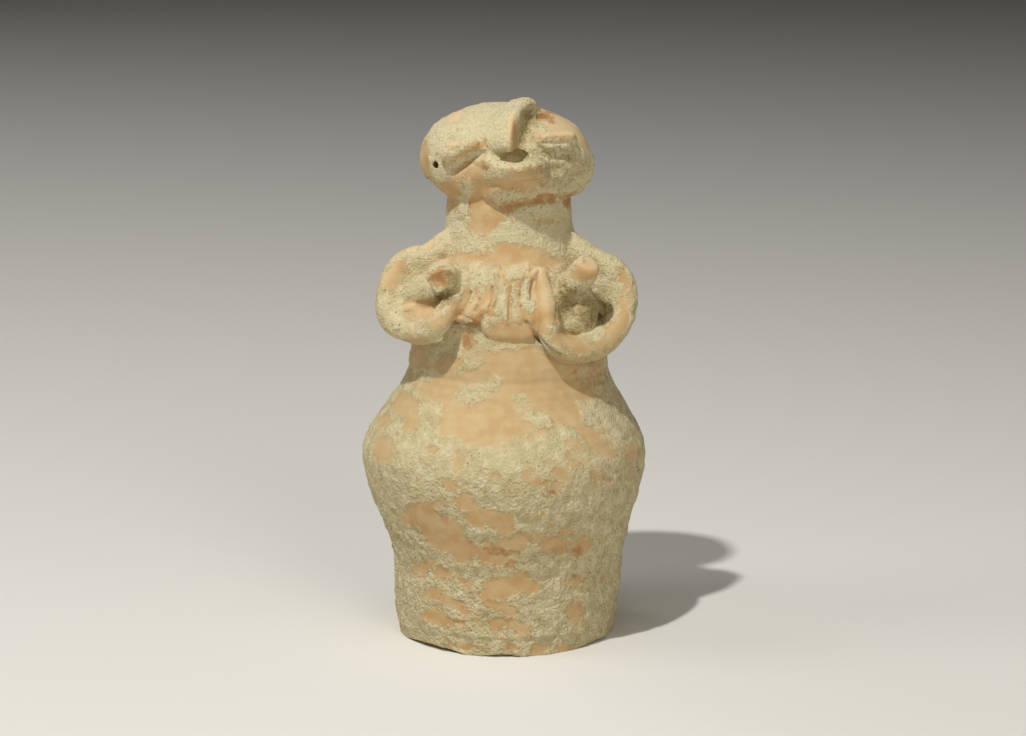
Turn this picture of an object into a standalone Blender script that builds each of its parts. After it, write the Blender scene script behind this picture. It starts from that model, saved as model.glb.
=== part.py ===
"""Hollow terracotta fertility figurine with looped arms, hands on the breasts and a lifted face.

The body is a wheel-thrown bell, open underneath, and the head is a solid ball of clay on its
neck. Arms, hands, breasts, eyes, nose and jaw are rolls and pellets of clay pressed on to it.
Every form is made on its own, then all are luted together into one skin of clay, which is
hollowed from below and trimmed at the foot.

Units are metres. +Z is up, the figure faces -Y, and the origin is the middle of the foot, on
the surface that it stands on. "Right" and "left" are the figure's own: its right is at -X.
A bearing is the angle round the body from the front, in degrees, positive towards +X.
"""

import math
from typing import NamedTuple

import bmesh
import bpy
from mathutils import Euler, Matrix, Vector

FIGURINE = "fertility_figurine"

# The whole height up to the crest of the crown, and the levels of the thrown body as shares
# of its own height up to the neck
FIGURINE_HEIGHT = 0.1904
STEM_FOOT_LEVEL = 0.05705
HIP_FOOT_LEVEL = 0.16779
HIP_TOP_LEVEL = 0.43624
WAIST_LEVEL = 0.65772
CHEST_LEVEL = 0.76174

# Radii of the thrown body
FOOT_RADIUS = 0.0380
STEM_RADIUS = 0.0391
WAISTED_RADIUS = 0.0402
HIP_RADIUS = 0.0496
WAIST_RADIUS = 0.0344
CHEST_RADIUS = 0.0322
NECK_RADIUS = 0.0216

# The thrown wall and the hollow in it
FOOT_WALL = 0.0070
HIP_WALL = 0.0075
CHEST_WALL = 0.0080
HOLLOW_TOP_CLAY = 0.0140
HOLLOW_DOME_POWER = 2.6
FOOT_TRIM = 0.0060

# The thrown body isn't quite true: it is flatter above the waist and sways from side to side
TORSO_DEPTH_SHARE = 0.96
STEM_SWAY = 0.0008
HIP_SWAY = -0.0009
WAIST_SWAY = 0.0010
NECK_SWAY = 0.0011

# The head is a wide ball, rolled a little towards its left, with a flap for each ear
HEAD_RISE = 0.0198
HEAD_HALF_WIDTH = 0.0290
HEAD_HALF_DEPTH = 0.0232
HEAD_HALF_HEIGHT = 0.0188
HEAD_FORWARD = 0.0012
HEAD_SWAY = 0.0003
HEAD_ROLL = 3.0
HEAD_SQUARENESS = 0.05
EAR_HALF_WIDTH = 0.0090
EAR_HALF_DEPTH = 0.0072
EAR_HALF_HEIGHT = 0.0105
EAR_STAND_OFF = 0.0010
RIGHT_EAR_DROP_SHARE = 0.04
LEFT_EAR_DROP_SHARE = 0.18
EAR_HOLE_RADIUS = 0.0011
EAR_HOLE_DEPTH = 0.0050
EAR_HOLE_SEAT = (-0.83, -0.04)
EAR_HOLE_AIM = (-0.30, -1.0, 0.05)
CHIP_SEAT = (0.45, 0.84)
CHIP_HALF_AXES = (0.0030, 0.0042, 0.0020)
CHIP_TURN = (20.0, 25.0, 0.0)

# The crest of the nose, from the crown through its bend to the tip: across, forward, up
# from the middle of the head
CROWN_RISE = 0.0216
NOSE_BACK = (0.0078, -0.0015, 0.0185)
NOSE_CROWN = (0.0072, 0.0060, CROWN_RISE)
NOSE_BEND = (0.0030, 0.0223, 0.0163)
NOSE_TIP = (0.0024, 0.0298, 0.0086)
NOSE_FOOT = (0.0026, 0.0262, 0.0044)
NOSE_DEPTH = 0.0150
NOSE_CREST_WIDTH = 0.0038
NOSE_BASE_WIDTH = 0.0160
NOSE_BASE_SHIFT = 0.0028

# The crest's and the root's widths at each of those points, as shares
NOSE_CREST_SHARES = (1.2, 2.2, 1.0, 1.0, 1.3)
NOSE_BASE_SHARES = (0.8, 1.1, 1.0, 0.85, 0.7)

# The eyes are long pellets, thicker at the outer end. Each one's seat is the share of the
# head's half width and half height that its middle is at, then its slant
EYE_LENGTH = 0.0145
EYE_RADIUS = 0.0030
EYE_OUTER_SWELL = 0.18
RIGHT_EYE_SEAT = (-0.47, 0.24, -33.0)
LEFT_EYE_SEAT = (0.62, 0.42, 4.0)

# The jaw juts out below a raised lip, which curves round it from the middle to both ends
FACE_TURN = 0.0050
JAW_HALF_WIDTH = 0.0138
JAW_HALF_DEPTH = 0.0118
JAW_HALF_HEIGHT = 0.0074
JAW_FORWARD_SHARE = 0.74
JAW_DROP_SHARE = 0.29
JAW_TURN = (-26.0, -6.0, 6.0)
JAW_SQUARENESS = 0.3
LIP_RADIUS = 0.0024
LIP_SHIFT_SHARE = 0.07
LIP_REACH_SHARE = 0.78
LIP_MIDDLE_FORWARD_SHARE = 1.17
LIP_END_FORWARD_SHARE = 0.95
LIP_MIDDLE_UP_SHARE = -0.05
LIP_END_UP_SHARE = 0.14
MOUTH_HALF_AXES = (0.0056, 0.0062, 0.0028)
MOUTH_SHIFT_SHARE = 0.55
MOUTH_FORWARD_SHARE = 1.02
MOUTH_UP_SHARE = 0.18
MOUTH_TURN = (-12.0, 0.0, 0.0)

# Arms: loops that start on the shoulders, go out and down, and come forward to the hands
ARM_RADIUS = 0.0047
WRIST_RADIUS = 0.0036
LOOP_OUT = 0.0262
ELBOW_BACK = 0.0080
WRIST_FORWARD = 0.0310
ARM_START_BEARING = 70.0
RIGHT_SHOULDER_SHARE = 0.6056
LEFT_SHOULDER_SHARE = 0.5437
RIGHT_LOOP_DROP = 0.0118
LEFT_LOOP_DROP = 0.0134
RIGHT_LOOP_HALF_WIDTH = 0.0146
LEFT_LOOP_HALF_WIDTH = 0.0133
RIGHT_LOOP_LEAN = 0.0018
LEFT_LOOP_LEAN = -0.0016
RIGHT_LOOP_SQUARENESS = 0.26
LEFT_LOOP_SQUARENESS = 0.06
RIGHT_SHOULDER_SLOPE = 0.0060
LEFT_SHOULDER_SLOPE = 0.0082
WEB_FRONT = 0.0135
WEB_BACK = 0.0040
WEB_FLUSH_TURN = 50.0

# Hands: fingers side by side up the chest, on a flat palm, each at its own bearing
FINGER_RADIUS = 0.0019
FINGER_LENGTH = 0.0190
FINGER_SHORTENING = 0.05
FINGER_ROOT_LIFT_SHARE = 1.15
FINGER_TIP_LIFT_SHARE = 0.6
PALM_THICKNESS = 0.0026
RIGHT_WRIST_BEARING = 30.0
LEFT_WRIST_BEARING = 22.5
RIGHT_FINGER_BEARINGS = (24.0, 16.8, 9.8)
LEFT_FINGER_BEARINGS = (13.4, 6.0, -1.0)

# Breasts: a cone of clay in each arm's loop, the right one broken off short. Each root is
# across and forward from the neck, and up as a share of the way from the chest to the neck,
# and each aim is across, forward and up
BREAST_BASE_RADIUS = 0.0060
BREAST_TIP_RADIUS = 0.0042
RIGHT_BREAST_LENGTH = 0.0125
LEFT_BREAST_LENGTH = 0.0200
RIGHT_BREAST_ROOT = (0.0200, 0.0190, 0.380)
LEFT_BREAST_ROOT = (0.0195, 0.0180, 0.268)
RIGHT_BREAST_AIM = (0.24, 0.80, 0.42)
LEFT_BREAST_AIM = (0.36, 0.62, 0.60)
MOUND_HALF_AXIS_SHARES = (1.15, 1.0, 1.7)
MOUND_SEAT_SHARES = (0.0, 0.25, -0.7)
MOUND_TURN = 35.0
RIGHT_MOUND_SHARE = 0.8
LEFT_MOUND_SHARE = 1.0

# The pad of clay on the chest between the hands
PAD_HALF_AXES = (0.0110, 0.0030, 0.0078)
PAD_BEARING = 2.0
PAD_SUNK = 0.0006
PAD_RISE = 0.0040

# How finely the clay is modelled
BODY_SIDES = 72
BODY_STEPS = 7
HOLLOW_SIDES = 32
HOLLOW_STEPS = 3
CLAY_GRAIN = 0.0008
LUTING_PASSES = 4
SKIN_TRIANGLES = 8200

# The foot is cut by hand, so it stands on four stretches with low lifts between them:
# bearing, half the length of the lift along the foot, and its height
FOOT_LIFTS = (
    (-43.0, 0.0145, 0.0016),
    (-2.0, 0.0070, 0.0010),
    (56.0, 0.0095, 0.0009),
    (128.0, 0.0150, 0.0012),
    (-138.0, 0.0130, 0.0013),
)

# How late the curve turns above the foot of the hips and above the chest, and how much of
# the neck's radius is left inside the head
HIP_LATENESS = 0.88
SHOULDER_LATENESS = 0.95
NECK_IN_HEAD_SHARE = 0.92

# Heights that follow from the whole height and the levels
HEAD_CENTRE = FIGURINE_HEIGHT - CROWN_RISE
NECK = HEAD_CENTRE - HEAD_RISE
STEM_FOOT = NECK * STEM_FOOT_LEVEL
HIP_FOOT = NECK * HIP_FOOT_LEVEL
HIP_TOP = NECK * HIP_TOP_LEVEL
WAIST = NECK * WAIST_LEVEL
CHEST = NECK * CHEST_LEVEL
HAND_FOOT = CHEST + PALM_THICKNESS

# The outline of the thrown body: height, radius, sway, and how late its curve turns
STATIONS = (
    (-FOOT_TRIM, FOOT_RADIUS, 0.0, 1.0),
    (0.0, FOOT_RADIUS, 0.0, 1.0),
    (STEM_FOOT, STEM_RADIUS, 0.0, 1.0),
    (HIP_FOOT, WAISTED_RADIUS, STEM_SWAY, HIP_LATENESS),
    (HIP_TOP, HIP_RADIUS, HIP_SWAY, 1.0),
    (WAIST, WAIST_RADIUS, WAIST_SWAY, 1.0),
    (CHEST, CHEST_RADIUS, WAIST_SWAY, SHOULDER_LATENESS),
    (NECK, NECK_RADIUS, NECK_SWAY, 1.0),
    (HEAD_CENTRE, NECK_RADIUS * NECK_IN_HEAD_SHARE, NECK_SWAY, 1.0),
)


def mix(low, high, share):
    return low + (high - low) * share


class Arm(NamedTuple):
    """One arm: its shoulder's height, the loop's size and shape, and the hand's bearings."""

    name: str
    side: float
    shoulder: float
    slope: float
    drop: float
    half_width: float
    lean: float
    squareness: float
    wrist_bearing: float
    finger_bearings: tuple


ARMS = (
    Arm(
        "right",
        -1.0,
        mix(CHEST, NECK, RIGHT_SHOULDER_SHARE),
        RIGHT_SHOULDER_SLOPE,
        RIGHT_LOOP_DROP,
        RIGHT_LOOP_HALF_WIDTH,
        RIGHT_LOOP_LEAN,
        RIGHT_LOOP_SQUARENESS,
        RIGHT_WRIST_BEARING,
        RIGHT_FINGER_BEARINGS,
    ),
    Arm(
        "left",
        1.0,
        mix(CHEST, NECK, LEFT_SHOULDER_SHARE),
        LEFT_SHOULDER_SLOPE,
        LEFT_LOOP_DROP,
        LEFT_LOOP_HALF_WIDTH,
        LEFT_LOOP_LEAN,
        LEFT_LOOP_SQUARENESS,
        LEFT_WRIST_BEARING,
        LEFT_FINGER_BEARINGS,
    ),
)


def ease(share):
    """A smooth step from 0 to 1, level at both ends."""
    share = min(1.0, max(0.0, share))
    return share * share * (3.0 - 2.0 * share)


def throw(height):
    """The thrown body's outer radius and its sway, eased from each station to the next."""
    for (low, radius, lean, lateness), (high, next_radius, next_lean, _) in zip(
        STATIONS, STATIONS[1:]
    ):
        if height <= high:
            share = max(0.0, (height - low) / (high - low))
            return mix(radius, next_radius, ease(share**lateness)), mix(
                lean, next_lean, ease(share)
            )
    return STATIONS[-1][1], STATIONS[-1][2]


def wall(height):
    """The thrown wall, thickest where the potter closed the chest."""
    if height < HIP_TOP:
        return mix(FOOT_WALL, HIP_WALL, ease(height / HIP_TOP))
    return mix(HIP_WALL, CHEST_WALL, ease((height - HIP_TOP) / (CHEST - HIP_TOP)))


def depth_share(height):
    """The body's depth as a share of its width: round at the foot, flatter above the waist."""
    return mix(1.0, TORSO_DEPTH_SHARE, ease((height - HIP_TOP) / (CHEST - HIP_TOP)))


def on_body(bearing, stand_off, height):
    """The point at this bearing and height, stand_off outside the body's skin."""
    angle = math.radians(bearing)
    radius, sway = throw(height)
    reach = radius + stand_off
    across = sway + reach * math.sin(angle)
    return Vector((across, -reach * depth_share(height) * math.cos(angle), height))


def on_head(across, up, proud=0.0):
    """The point on the front of the head, at shares of its half width and half height."""
    forward = HEAD_HALF_DEPTH * math.sqrt(max(0.0, 1.0 - across**2 - up**2)) + proud
    return from_head((across * HEAD_HALF_WIDTH, forward, up * HEAD_HALF_HEIGHT))


def from_head(offset):
    """The point this far across, forward and up from the middle of the head."""
    across, forward, up = offset
    return Vector((HEAD_SWAY + across, -HEAD_FORWARD - forward, HEAD_CENTRE + up))


def collection(name):
    made = bpy.data.collections.new(name)
    bpy.context.scene.collection.children.link(made)
    return made


def mesh_object(name, mesh, place):
    made = bpy.data.objects.new(name, mesh)
    place.objects.link(made)
    return made


def settled(obj):
    """Replaces an object with the mesh that its modifiers or its bevel make, caps welded."""
    bpy.context.view_layer.update()
    graph = bpy.context.evaluated_depsgraph_get()
    mesh = bpy.data.meshes.new_from_object(obj.evaluated_get(graph))
    mesh.transform(obj.matrix_world)
    shape = bmesh.new()
    shape.from_mesh(mesh)
    bmesh.ops.remove_doubles(shape, verts=shape.verts, dist=1e-6)
    bmesh.ops.recalc_face_normals(shape, faces=shape.faces)
    shape.to_mesh(mesh)
    shape.free()
    mesh.shade_smooth()
    name, place = obj.name, obj.users_collection[0]
    bpy.data.objects.remove(obj)
    return mesh_object(name, mesh, place)


def ball(name, place, centre, half_axes, turn=(0.0, 0.0, 0.0), sides=28, squareness=0.0):
    """A ball of clay pressed to an oval, and patted square, turned in degrees about X, Y and Z."""
    shape = bmesh.new()
    bmesh.ops.create_uvsphere(shape, u_segments=sides, v_segments=sides // 2, radius=1.0)
    for vertex in shape.verts:
        for axis in range(3):
            reach = vertex.co[axis]
            vertex.co[axis] = math.copysign(abs(reach) ** (1.0 - squareness), reach)
    turned = Euler([math.radians(angle) for angle in turn]).to_matrix().to_4x4()
    shape.transform(Matrix.Translation(centre) @ turned @ Matrix.Diagonal((*half_axes, 1.0)))
    mesh = bpy.data.meshes.new(name)
    shape.to_mesh(mesh)
    shape.free()
    return mesh_object(name, mesh, place)


def roll(name, place, points, radii):
    """A roll of clay along points, as thick at each as its radius says."""
    curve = bpy.data.curves.new(name, "CURVE")
    curve.dimensions = "3D"
    curve.bevel_depth = 1.0
    curve.bevel_resolution = 4
    curve.use_fill_caps = True
    spline = curve.splines.new("POLY")
    spline.points.add(len(points) - 1)
    for target, point, radius in zip(spline.points, points, radii):
        target.co = (*point, 1.0)
        target.radius = radius
    return settled(mesh_object(name, curve, place))


def turned(name, place, outline, sides):
    """A solid turned about the upright axis, from its outline of (radius, height), top first."""
    mesh = bpy.data.meshes.new(name)
    points = [(radius, 0.0, height) for radius, height in outline]
    edges = [(index, index + 1) for index in range(len(points) - 1)]
    mesh.from_pydata(points, edges, [])
    made = mesh_object(name, mesh, place)
    screw = made.modifiers.new("Throw on the wheel", "SCREW")
    screw.steps = screw.render_steps = sides
    screw.use_merge_vertices = True
    screw.merge_threshold = 1e-6
    made = settled(made)
    for vertex in made.data.vertices:
        height = vertex.co.z
        vertex.co.x += throw(height)[1]
        vertex.co.y *= depth_share(height)
    return made


def stage_heights(low, high, steps):
    """Heights from low to high that meet every station between, with even steps in each."""
    stops = [low] + [s[0] for s in STATIONS if low < s[0] < high] + [high]
    heights = []
    for start, end in zip(stops, stops[1:]):
        heights += [mix(start, end, step / steps) for step in range(steps)]
    return heights + [high]


def thrown_body(place):
    heights = stage_heights(STATIONS[0][0], STATIONS[-1][0], BODY_STEPS)
    outline = [(throw(height)[0], height) for height in reversed(heights)]
    outline = [(0.0, heights[-1])] + outline + [(0.0, heights[0])]
    return turned("thrown body", place, outline, BODY_SIDES)


def head(place):
    """The ball of the head, and an ear flap each side of it."""
    half_axes = (HEAD_HALF_WIDTH, HEAD_HALF_DEPTH, HEAD_HALF_HEIGHT)
    middle = from_head((0.0, 0.0, 0.0))
    turn = (0.0, HEAD_ROLL, 0.0)
    made = [ball("head", place, middle, half_axes, turn, 44, HEAD_SQUARENESS)]
    for name, side, drop_share in (
        ("right ear", -1.0, RIGHT_EAR_DROP_SHARE),
        ("left ear", 1.0, LEFT_EAR_DROP_SHARE),
    ):
        across = side * (HEAD_HALF_WIDTH + EAR_STAND_OFF - EAR_HALF_WIDTH)
        centre = from_head((across, 0.0, -HEAD_HALF_HEIGHT * drop_share))
        half_axes = (EAR_HALF_WIDTH, EAR_HALF_DEPTH, EAR_HALF_HEIGHT)
        made.append(ball(name, place, centre, half_axes))
    return made


def nose(place):
    """A fin of clay from the crown down to a blunt tip: narrow at its crest, wide at its root."""
    aside = Vector((1.0, 0.0, 0.0))
    middle = from_head((0.0, 0.0, 0.0))
    shape = bmesh.new()
    rings = []
    crests = (NOSE_BACK, NOSE_CROWN, NOSE_BEND, NOSE_TIP, NOSE_FOOT)
    for offset, crest_share, width in zip(crests, NOSE_CREST_SHARES, NOSE_BASE_SHARES):
        crest = from_head(offset)
        inwards = middle - crest
        inwards.x = 0.0
        inwards.normalize()
        root = crest + inwards * NOSE_DEPTH + aside * NOSE_BASE_SHIFT
        base = aside * NOSE_BASE_WIDTH / 2 * width
        ridge = aside * NOSE_CREST_WIDTH / 2 * crest_share
        corners = (root - base, crest - ridge, crest + ridge, root + base)
        rings.append([shape.verts.new(corner) for corner in corners])
    for upper, lower in zip(rings, rings[1:]):
        for index in range(4):
            after = (index + 1) % 4
            shape.faces.new((upper[index], upper[after], lower[after], lower[index]))
    shape.faces.new(rings[0])
    shape.faces.new(reversed(rings[-1]))
    mesh = bpy.data.meshes.new("nose")
    shape.to_mesh(mesh)
    shape.free()
    made = mesh_object("nose", mesh, place)
    bevel = made.modifiers.new("Finger-rounded edges", "BEVEL")
    bevel.width = NOSE_CREST_WIDTH * 0.3
    bevel.segments = 2
    return settled(made)


def eyes(place):
    """Two long pellets, pressed on aslant, each thick at its outer end."""
    made = []
    for name, (across, up, slant) in (
        ("right eye", RIGHT_EYE_SEAT),
        ("left eye", LEFT_EYE_SEAT),
    ):
        middle = on_head(across, up)
        along = Vector((math.cos(math.radians(slant)), 0.0, -math.sin(math.radians(slant))))
        outer = math.copysign(1.0, across)
        points = []
        radii = []
        for step in range(9):
            share = step / 4.0 - 1.0
            point = middle + along * EYE_LENGTH / 2 * share
            offset = point - from_head((0.0, 0.0, 0.0))
            seat = on_head(offset.x / HEAD_HALF_WIDTH, offset.z / HEAD_HALF_HEIGHT)
            swell = math.sqrt(max(0.04, 1.0 - share**4))
            swell *= 1.0 + EYE_OUTER_SWELL * share * outer
            points.append(seat)
            radii.append(EYE_RADIUS * swell)
        made.append(roll(name, place, points, radii))
    return made


def jaw(place):
    """The jaw's blunt block, turned to the figure's left, and the lip that curves round it."""
    forward = HEAD_HALF_DEPTH * JAW_FORWARD_SHARE
    centre = from_head((FACE_TURN, forward, -HEAD_HALF_HEIGHT * JAW_DROP_SHARE))
    half_axes = (JAW_HALF_WIDTH, JAW_HALF_DEPTH, JAW_HALF_HEIGHT)
    made = [ball("jaw", place, centre, half_axes, JAW_TURN, squareness=JAW_SQUARENESS)]
    middle = FACE_TURN - HEAD_HALF_WIDTH * LIP_SHIFT_SHARE
    points = []
    radii = []
    for step in range(11):
        swing = step / 5.0 - 1.0
        bend = swing * swing
        across = middle + JAW_HALF_WIDTH * LIP_REACH_SHARE * swing
        forward = HEAD_HALF_DEPTH * mix(LIP_MIDDLE_FORWARD_SHARE, LIP_END_FORWARD_SHARE, bend)
        up = HEAD_HALF_HEIGHT * mix(LIP_MIDDLE_UP_SHARE, LIP_END_UP_SHARE, bend)
        points.append(from_head((across, forward, up)))
        radii.append(LIP_RADIUS * mix(1.0, 0.6, abs(swing)))
    made.append(roll("lip", place, points, radii))
    return made


def loop_point(arm, degrees):
    """The middle of an arm's roll, by degrees round its loop: 0 on top, 90 outside, 180 below."""
    angle = math.radians(degrees)
    out, up = (
        math.copysign(abs(reach) ** (1.0 - arm.squareness), reach)
        for reach in (math.sin(angle), math.cos(angle))
    )
    across = arm.side * (LOOP_OUT + arm.half_width * out - arm.lean * up)
    swing = (degrees - 50.0) / 200.0 if degrees < 250.0 else (360.0 - degrees) / 110.0
    forward = mix(ELBOW_BACK, WRIST_FORWARD, ease(swing))
    return Vector((NECK_SWAY + across, -forward, arm.shoulder - arm.drop + arm.drop * up))


def looped_arm(place, arm):
    """A roll from the neck over the shoulder, round the loop and in to the forefinger's tip."""
    start = arm.shoulder + arm.slope
    points = [on_body(arm.side * ARM_START_BEARING, -ARM_RADIUS, start)]
    radii = [ARM_RADIUS * 1.1]
    for degrees in range(10, 241, 10):
        points.append(loop_point(arm, degrees))
        radii.append(mix(ARM_RADIUS, WRIST_RADIUS, ease((degrees - 190.0) / 60.0)))
    for share in (0.0, 0.35, 0.7, 0.92, 1.0):
        stand_off = mix(WRIST_RADIUS * 0.85, FINGER_RADIUS * 0.2, share)
        height = HAND_FOOT + FINGER_LENGTH * mix(0.15, 0.92, share)
        points.append(on_body(arm.side * arm.wrist_bearing, stand_off, height))
        radii.append(mix(WRIST_RADIUS, FINGER_RADIUS, ease(share)))
    radii[-1] = FINGER_RADIUS * 0.5
    return roll(f"{arm.name} arm", place, points, radii)


def web(place, arm):
    """The plate of clay that fills the arm's loop: flush above and outside, sunk behind the wrist."""
    turns = range(0, 360, 12)
    rim = [loop_point(arm, degrees) for degrees in turns]
    flush = [(1.0 + math.cos(math.radians(degrees - WEB_FLUSH_TURN))) / 2 for degrees in turns]
    middle = sum(rim, Vector()) / len(rim)
    shape = bmesh.new()

    def front(point, level, share):
        """How far forward: held level with the roll where it is flush, sunk at once elsewhere."""
        sunk = mix(1.0 - (1.0 - share) ** 3, ease((share - 0.3) / 0.7), level)
        return mix(-point.y + ARM_RADIUS * 0.95 * level, WEB_FRONT, sunk)

    def back(point, _level, share):
        return mix(-point.y - ARM_RADIUS * 0.9, WEB_BACK, ease(share))

    edge = [shape.verts.new(point) for point in rim]
    for surface in (front, back):
        rings = [edge]
        for share in (0.1, 0.25, 0.4, 0.6, 0.8):
            ring = []
            for point, level in zip(rim, flush):
                spot = point.lerp(middle, share)
                forward = surface(point, level, share)
                ring.append(shape.verts.new((spot.x, -forward, spot.z)))
            rings.append(ring)
        for outer, inner in zip(rings, rings[1:]):
            for index in range(len(rim)):
                after = (index + 1) % len(rim)
                shape.faces.new((outer[index], outer[after], inner[after], inner[index]))
        shape.faces.new(rings[-1])
    bmesh.ops.recalc_face_normals(shape, faces=shape.faces)
    mesh = bpy.data.meshes.new(f"{arm.name} web")
    shape.to_mesh(mesh)
    shape.free()
    return mesh_object(mesh.name, mesh, place)


def breast(place, name, side, root, aim, length, mound_share, radii):
    """A cone of clay on a low mound, standing on the body at root and pointing along aim."""
    across, forward, level = root
    start = Vector((NECK_SWAY + side * across, -forward, mix(CHEST, NECK, level)))
    ahead = Vector((side * aim[0], -aim[1], aim[2])).normalized()
    shares = (0.0, 0.3, 0.6, 0.85, 0.96, 1.0)
    points = [start + ahead * length * share for share in shares]
    size = BREAST_BASE_RADIUS * mound_share
    half_axes = Vector(MOUND_HALF_AXIS_SHARES) * size
    mound = start + Vector(MOUND_SEAT_SHARES) * size
    turn = (0.0, 0.0, -side * MOUND_TURN)
    return [
        roll(name, place, points, radii),
        ball(f"{name} mound", place, mound, half_axes, turn),
    ]


def breasts(place):
    """The left breast is a long tapered knob, and the right a stub with a flat broken end."""
    broad = BREAST_BASE_RADIUS
    tip = BREAST_TIP_RADIUS
    stub = [mix(tip, broad, share) for share in (1.0, 0.8, 0.6, 0.4, 0.35, 0.1)]
    knob = [mix(tip, broad, share) for share in (1.0, 0.75, 0.3, 0.0, -0.4, -1.0)]
    right = (RIGHT_BREAST_ROOT, RIGHT_BREAST_AIM, RIGHT_BREAST_LENGTH, RIGHT_MOUND_SHARE)
    left = (LEFT_BREAST_ROOT, LEFT_BREAST_AIM, LEFT_BREAST_LENGTH, LEFT_MOUND_SHARE)
    return breast(place, "right breast", -1.0, *right, stub) + breast(
        place, "left breast", 1.0, *left, knob
    )


def hand(place, arm):
    """Fingers laid side by side up the chest on a flat palm, each a tapered roll."""
    first, last = arm.finger_bearings[0], arm.finger_bearings[-1]
    middle = arm.side * (first + last) / 2
    spread = math.radians(first - last) / 2 * CHEST_RADIUS + FINGER_RADIUS
    centre = on_body(middle, 0.0, HAND_FOOT + FINGER_LENGTH * 0.45)
    half_axes = (spread, PALM_THICKNESS, FINGER_LENGTH * 0.46)
    name = f"{arm.name} palm"
    made = [ball(name, place, centre, half_axes, (-12.0, 0.0, middle), 28, 0.2)]
    outline = ((0.0, 0.55), (0.07, 0.95), (0.4, 1.05), (0.7, 1.0), (0.93, 0.85), (1.0, 0.45))
    for number, bearing in enumerate(arm.finger_bearings):
        points = []
        radii = []
        length = FINGER_LENGTH * (1.0 - FINGER_SHORTENING * number)
        for share, taper in outline:
            lift = mix(FINGER_ROOT_LIFT_SHARE, FINGER_TIP_LIFT_SHARE, share)
            stand_off = PALM_THICKNESS * lift
            points.append(on_body(arm.side * bearing, stand_off, HAND_FOOT + length * share))
            radii.append(FINGER_RADIUS * taper)
        made.append(roll(f"{arm.name} finger {number + 1}", place, points, radii))
    return made


def chest(place):
    """The pad of clay pressed on between the hands, with a ledge for its lower edge."""
    centre = on_body(PAD_BEARING, -PAD_SUNK, CHEST + PAD_RISE)
    return ball("chest", place, centre, PAD_HALF_AXES, (-6.0, 0.0, 0.0), 32, 0.2)


def luted(name, place, pieces):
    """All the pieces pressed into one skin, its joins smoothed by a wet finger."""
    shape = bmesh.new()
    for piece in pieces:
        piece.data.transform(piece.matrix_world)
        shape.from_mesh(piece.data)
        bpy.data.objects.remove(piece)
    mesh = bpy.data.meshes.new(name)
    shape.to_mesh(mesh)
    shape.free()
    made = mesh_object(name, mesh, place)
    skin = made.modifiers.new("Lute the clay together", "REMESH")
    skin.mode = "VOXEL"
    skin.voxel_size = CLAY_GRAIN
    smooth = made.modifiers.new("Smooth the joins", "SMOOTH")
    smooth.factor = 0.5
    smooth.iterations = LUTING_PASSES
    made = settled(made)
    spare = made.modifiers.new("Fewer triangles", "DECIMATE")
    triangles = sum(len(face.vertices) - 2 for face in made.data.polygons)
    spare.ratio = SKIN_TRIANGLES / triangles
    return settled(made)


def cutter(obj):
    obj.hide_render = True
    obj.display_type = "WIRE"
    return obj


def hollow(place):
    """The space inside the thrown wall, closed in a dome under the neck."""
    top = NECK - HOLLOW_TOP_CLAY
    heights = stage_heights(STATIONS[0][0] - 0.001, top, HOLLOW_STEPS)
    outline = []
    for height in heights:
        left = (top - height) / (top - WAIST)
        dome = math.sqrt(max(0.0, 1.0 - max(0.0, 1.0 - left) ** HOLLOW_DOME_POWER))
        outline.append(((throw(height)[0] - wall(height)) * dome, height))
    outline.reverse()
    outline[0] = (0.0, top)
    return cutter(turned("hollow", place, outline + [(0.0, heights[0])], HOLLOW_SIDES))


def ground(place):
    """Everything below the surface that the figurine stands on."""
    shape = bmesh.new()
    size = Matrix.Diagonal((HIP_RADIUS * 4, HIP_RADIUS * 4, 0.02, 1.0))
    bmesh.ops.create_cube(
        shape, size=1.0, matrix=Matrix.Translation((0.0, 0.0, -0.01)) @ size
    )
    mesh = bpy.data.meshes.new("ground")
    shape.to_mesh(mesh)
    shape.free()
    return cutter(mesh_object("ground", mesh, place))


def foot_lift(place, number, bearing, half_length, height):
    """A wide shallow cylinder lying outwards, which lifts a stretch of the foot by height."""
    radius = (half_length**2 + height**2) / (2.0 * height)
    inside = FOOT_RADIUS - FOOT_WALL * 2
    outside = FOOT_RADIUS + FOOT_WALL
    shape = bmesh.new()
    outwards = Matrix.Rotation(math.radians(bearing), 4, "Z") @ Matrix.Translation(
        (0.0, -(inside + outside) / 2, height - radius)
    )
    bmesh.ops.create_cone(
        shape,
        cap_ends=True,
        segments=96,
        radius1=radius,
        radius2=radius,
        depth=outside - inside,
        matrix=outwards @ Matrix.Rotation(math.radians(90.0), 4, "X"),
    )
    mesh = bpy.data.meshes.new(f"foot lift {number}")
    shape.to_mesh(mesh)
    shape.free()
    return cutter(mesh_object(mesh.name, mesh, place))


def ear_hole(place):
    """The piercing in the right ear, which doesn't go through."""
    mouth = on_head(*EAR_HOLE_SEAT)
    ahead = Vector(EAR_HOLE_AIM).normalized()
    points = (mouth + ahead * EAR_HOLE_DEPTH, mouth - ahead * EAR_HOLE_DEPTH)
    return cutter(roll("ear hole", place, points, (EAR_HOLE_RADIUS, EAR_HOLE_RADIUS)))


def brow_chip(place):
    """The chip knocked out beside the brow."""
    centre = on_head(*CHIP_SEAT)
    return cutter(ball("brow chip", place, centre, CHIP_HALF_AXES, CHIP_TURN, 12))


def mouth_hollow(place):
    """The thumb-pressed hollow between the nose and the lip."""
    forward = HEAD_HALF_DEPTH * MOUTH_FORWARD_SHARE
    up = HEAD_HALF_HEIGHT * MOUTH_UP_SHARE
    centre = from_head((FACE_TURN * MOUTH_SHIFT_SHARE, forward, up))
    return cutter(ball("mouth hollow", place, centre, MOUTH_HALF_AXES, MOUTH_TURN, 16))


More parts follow.
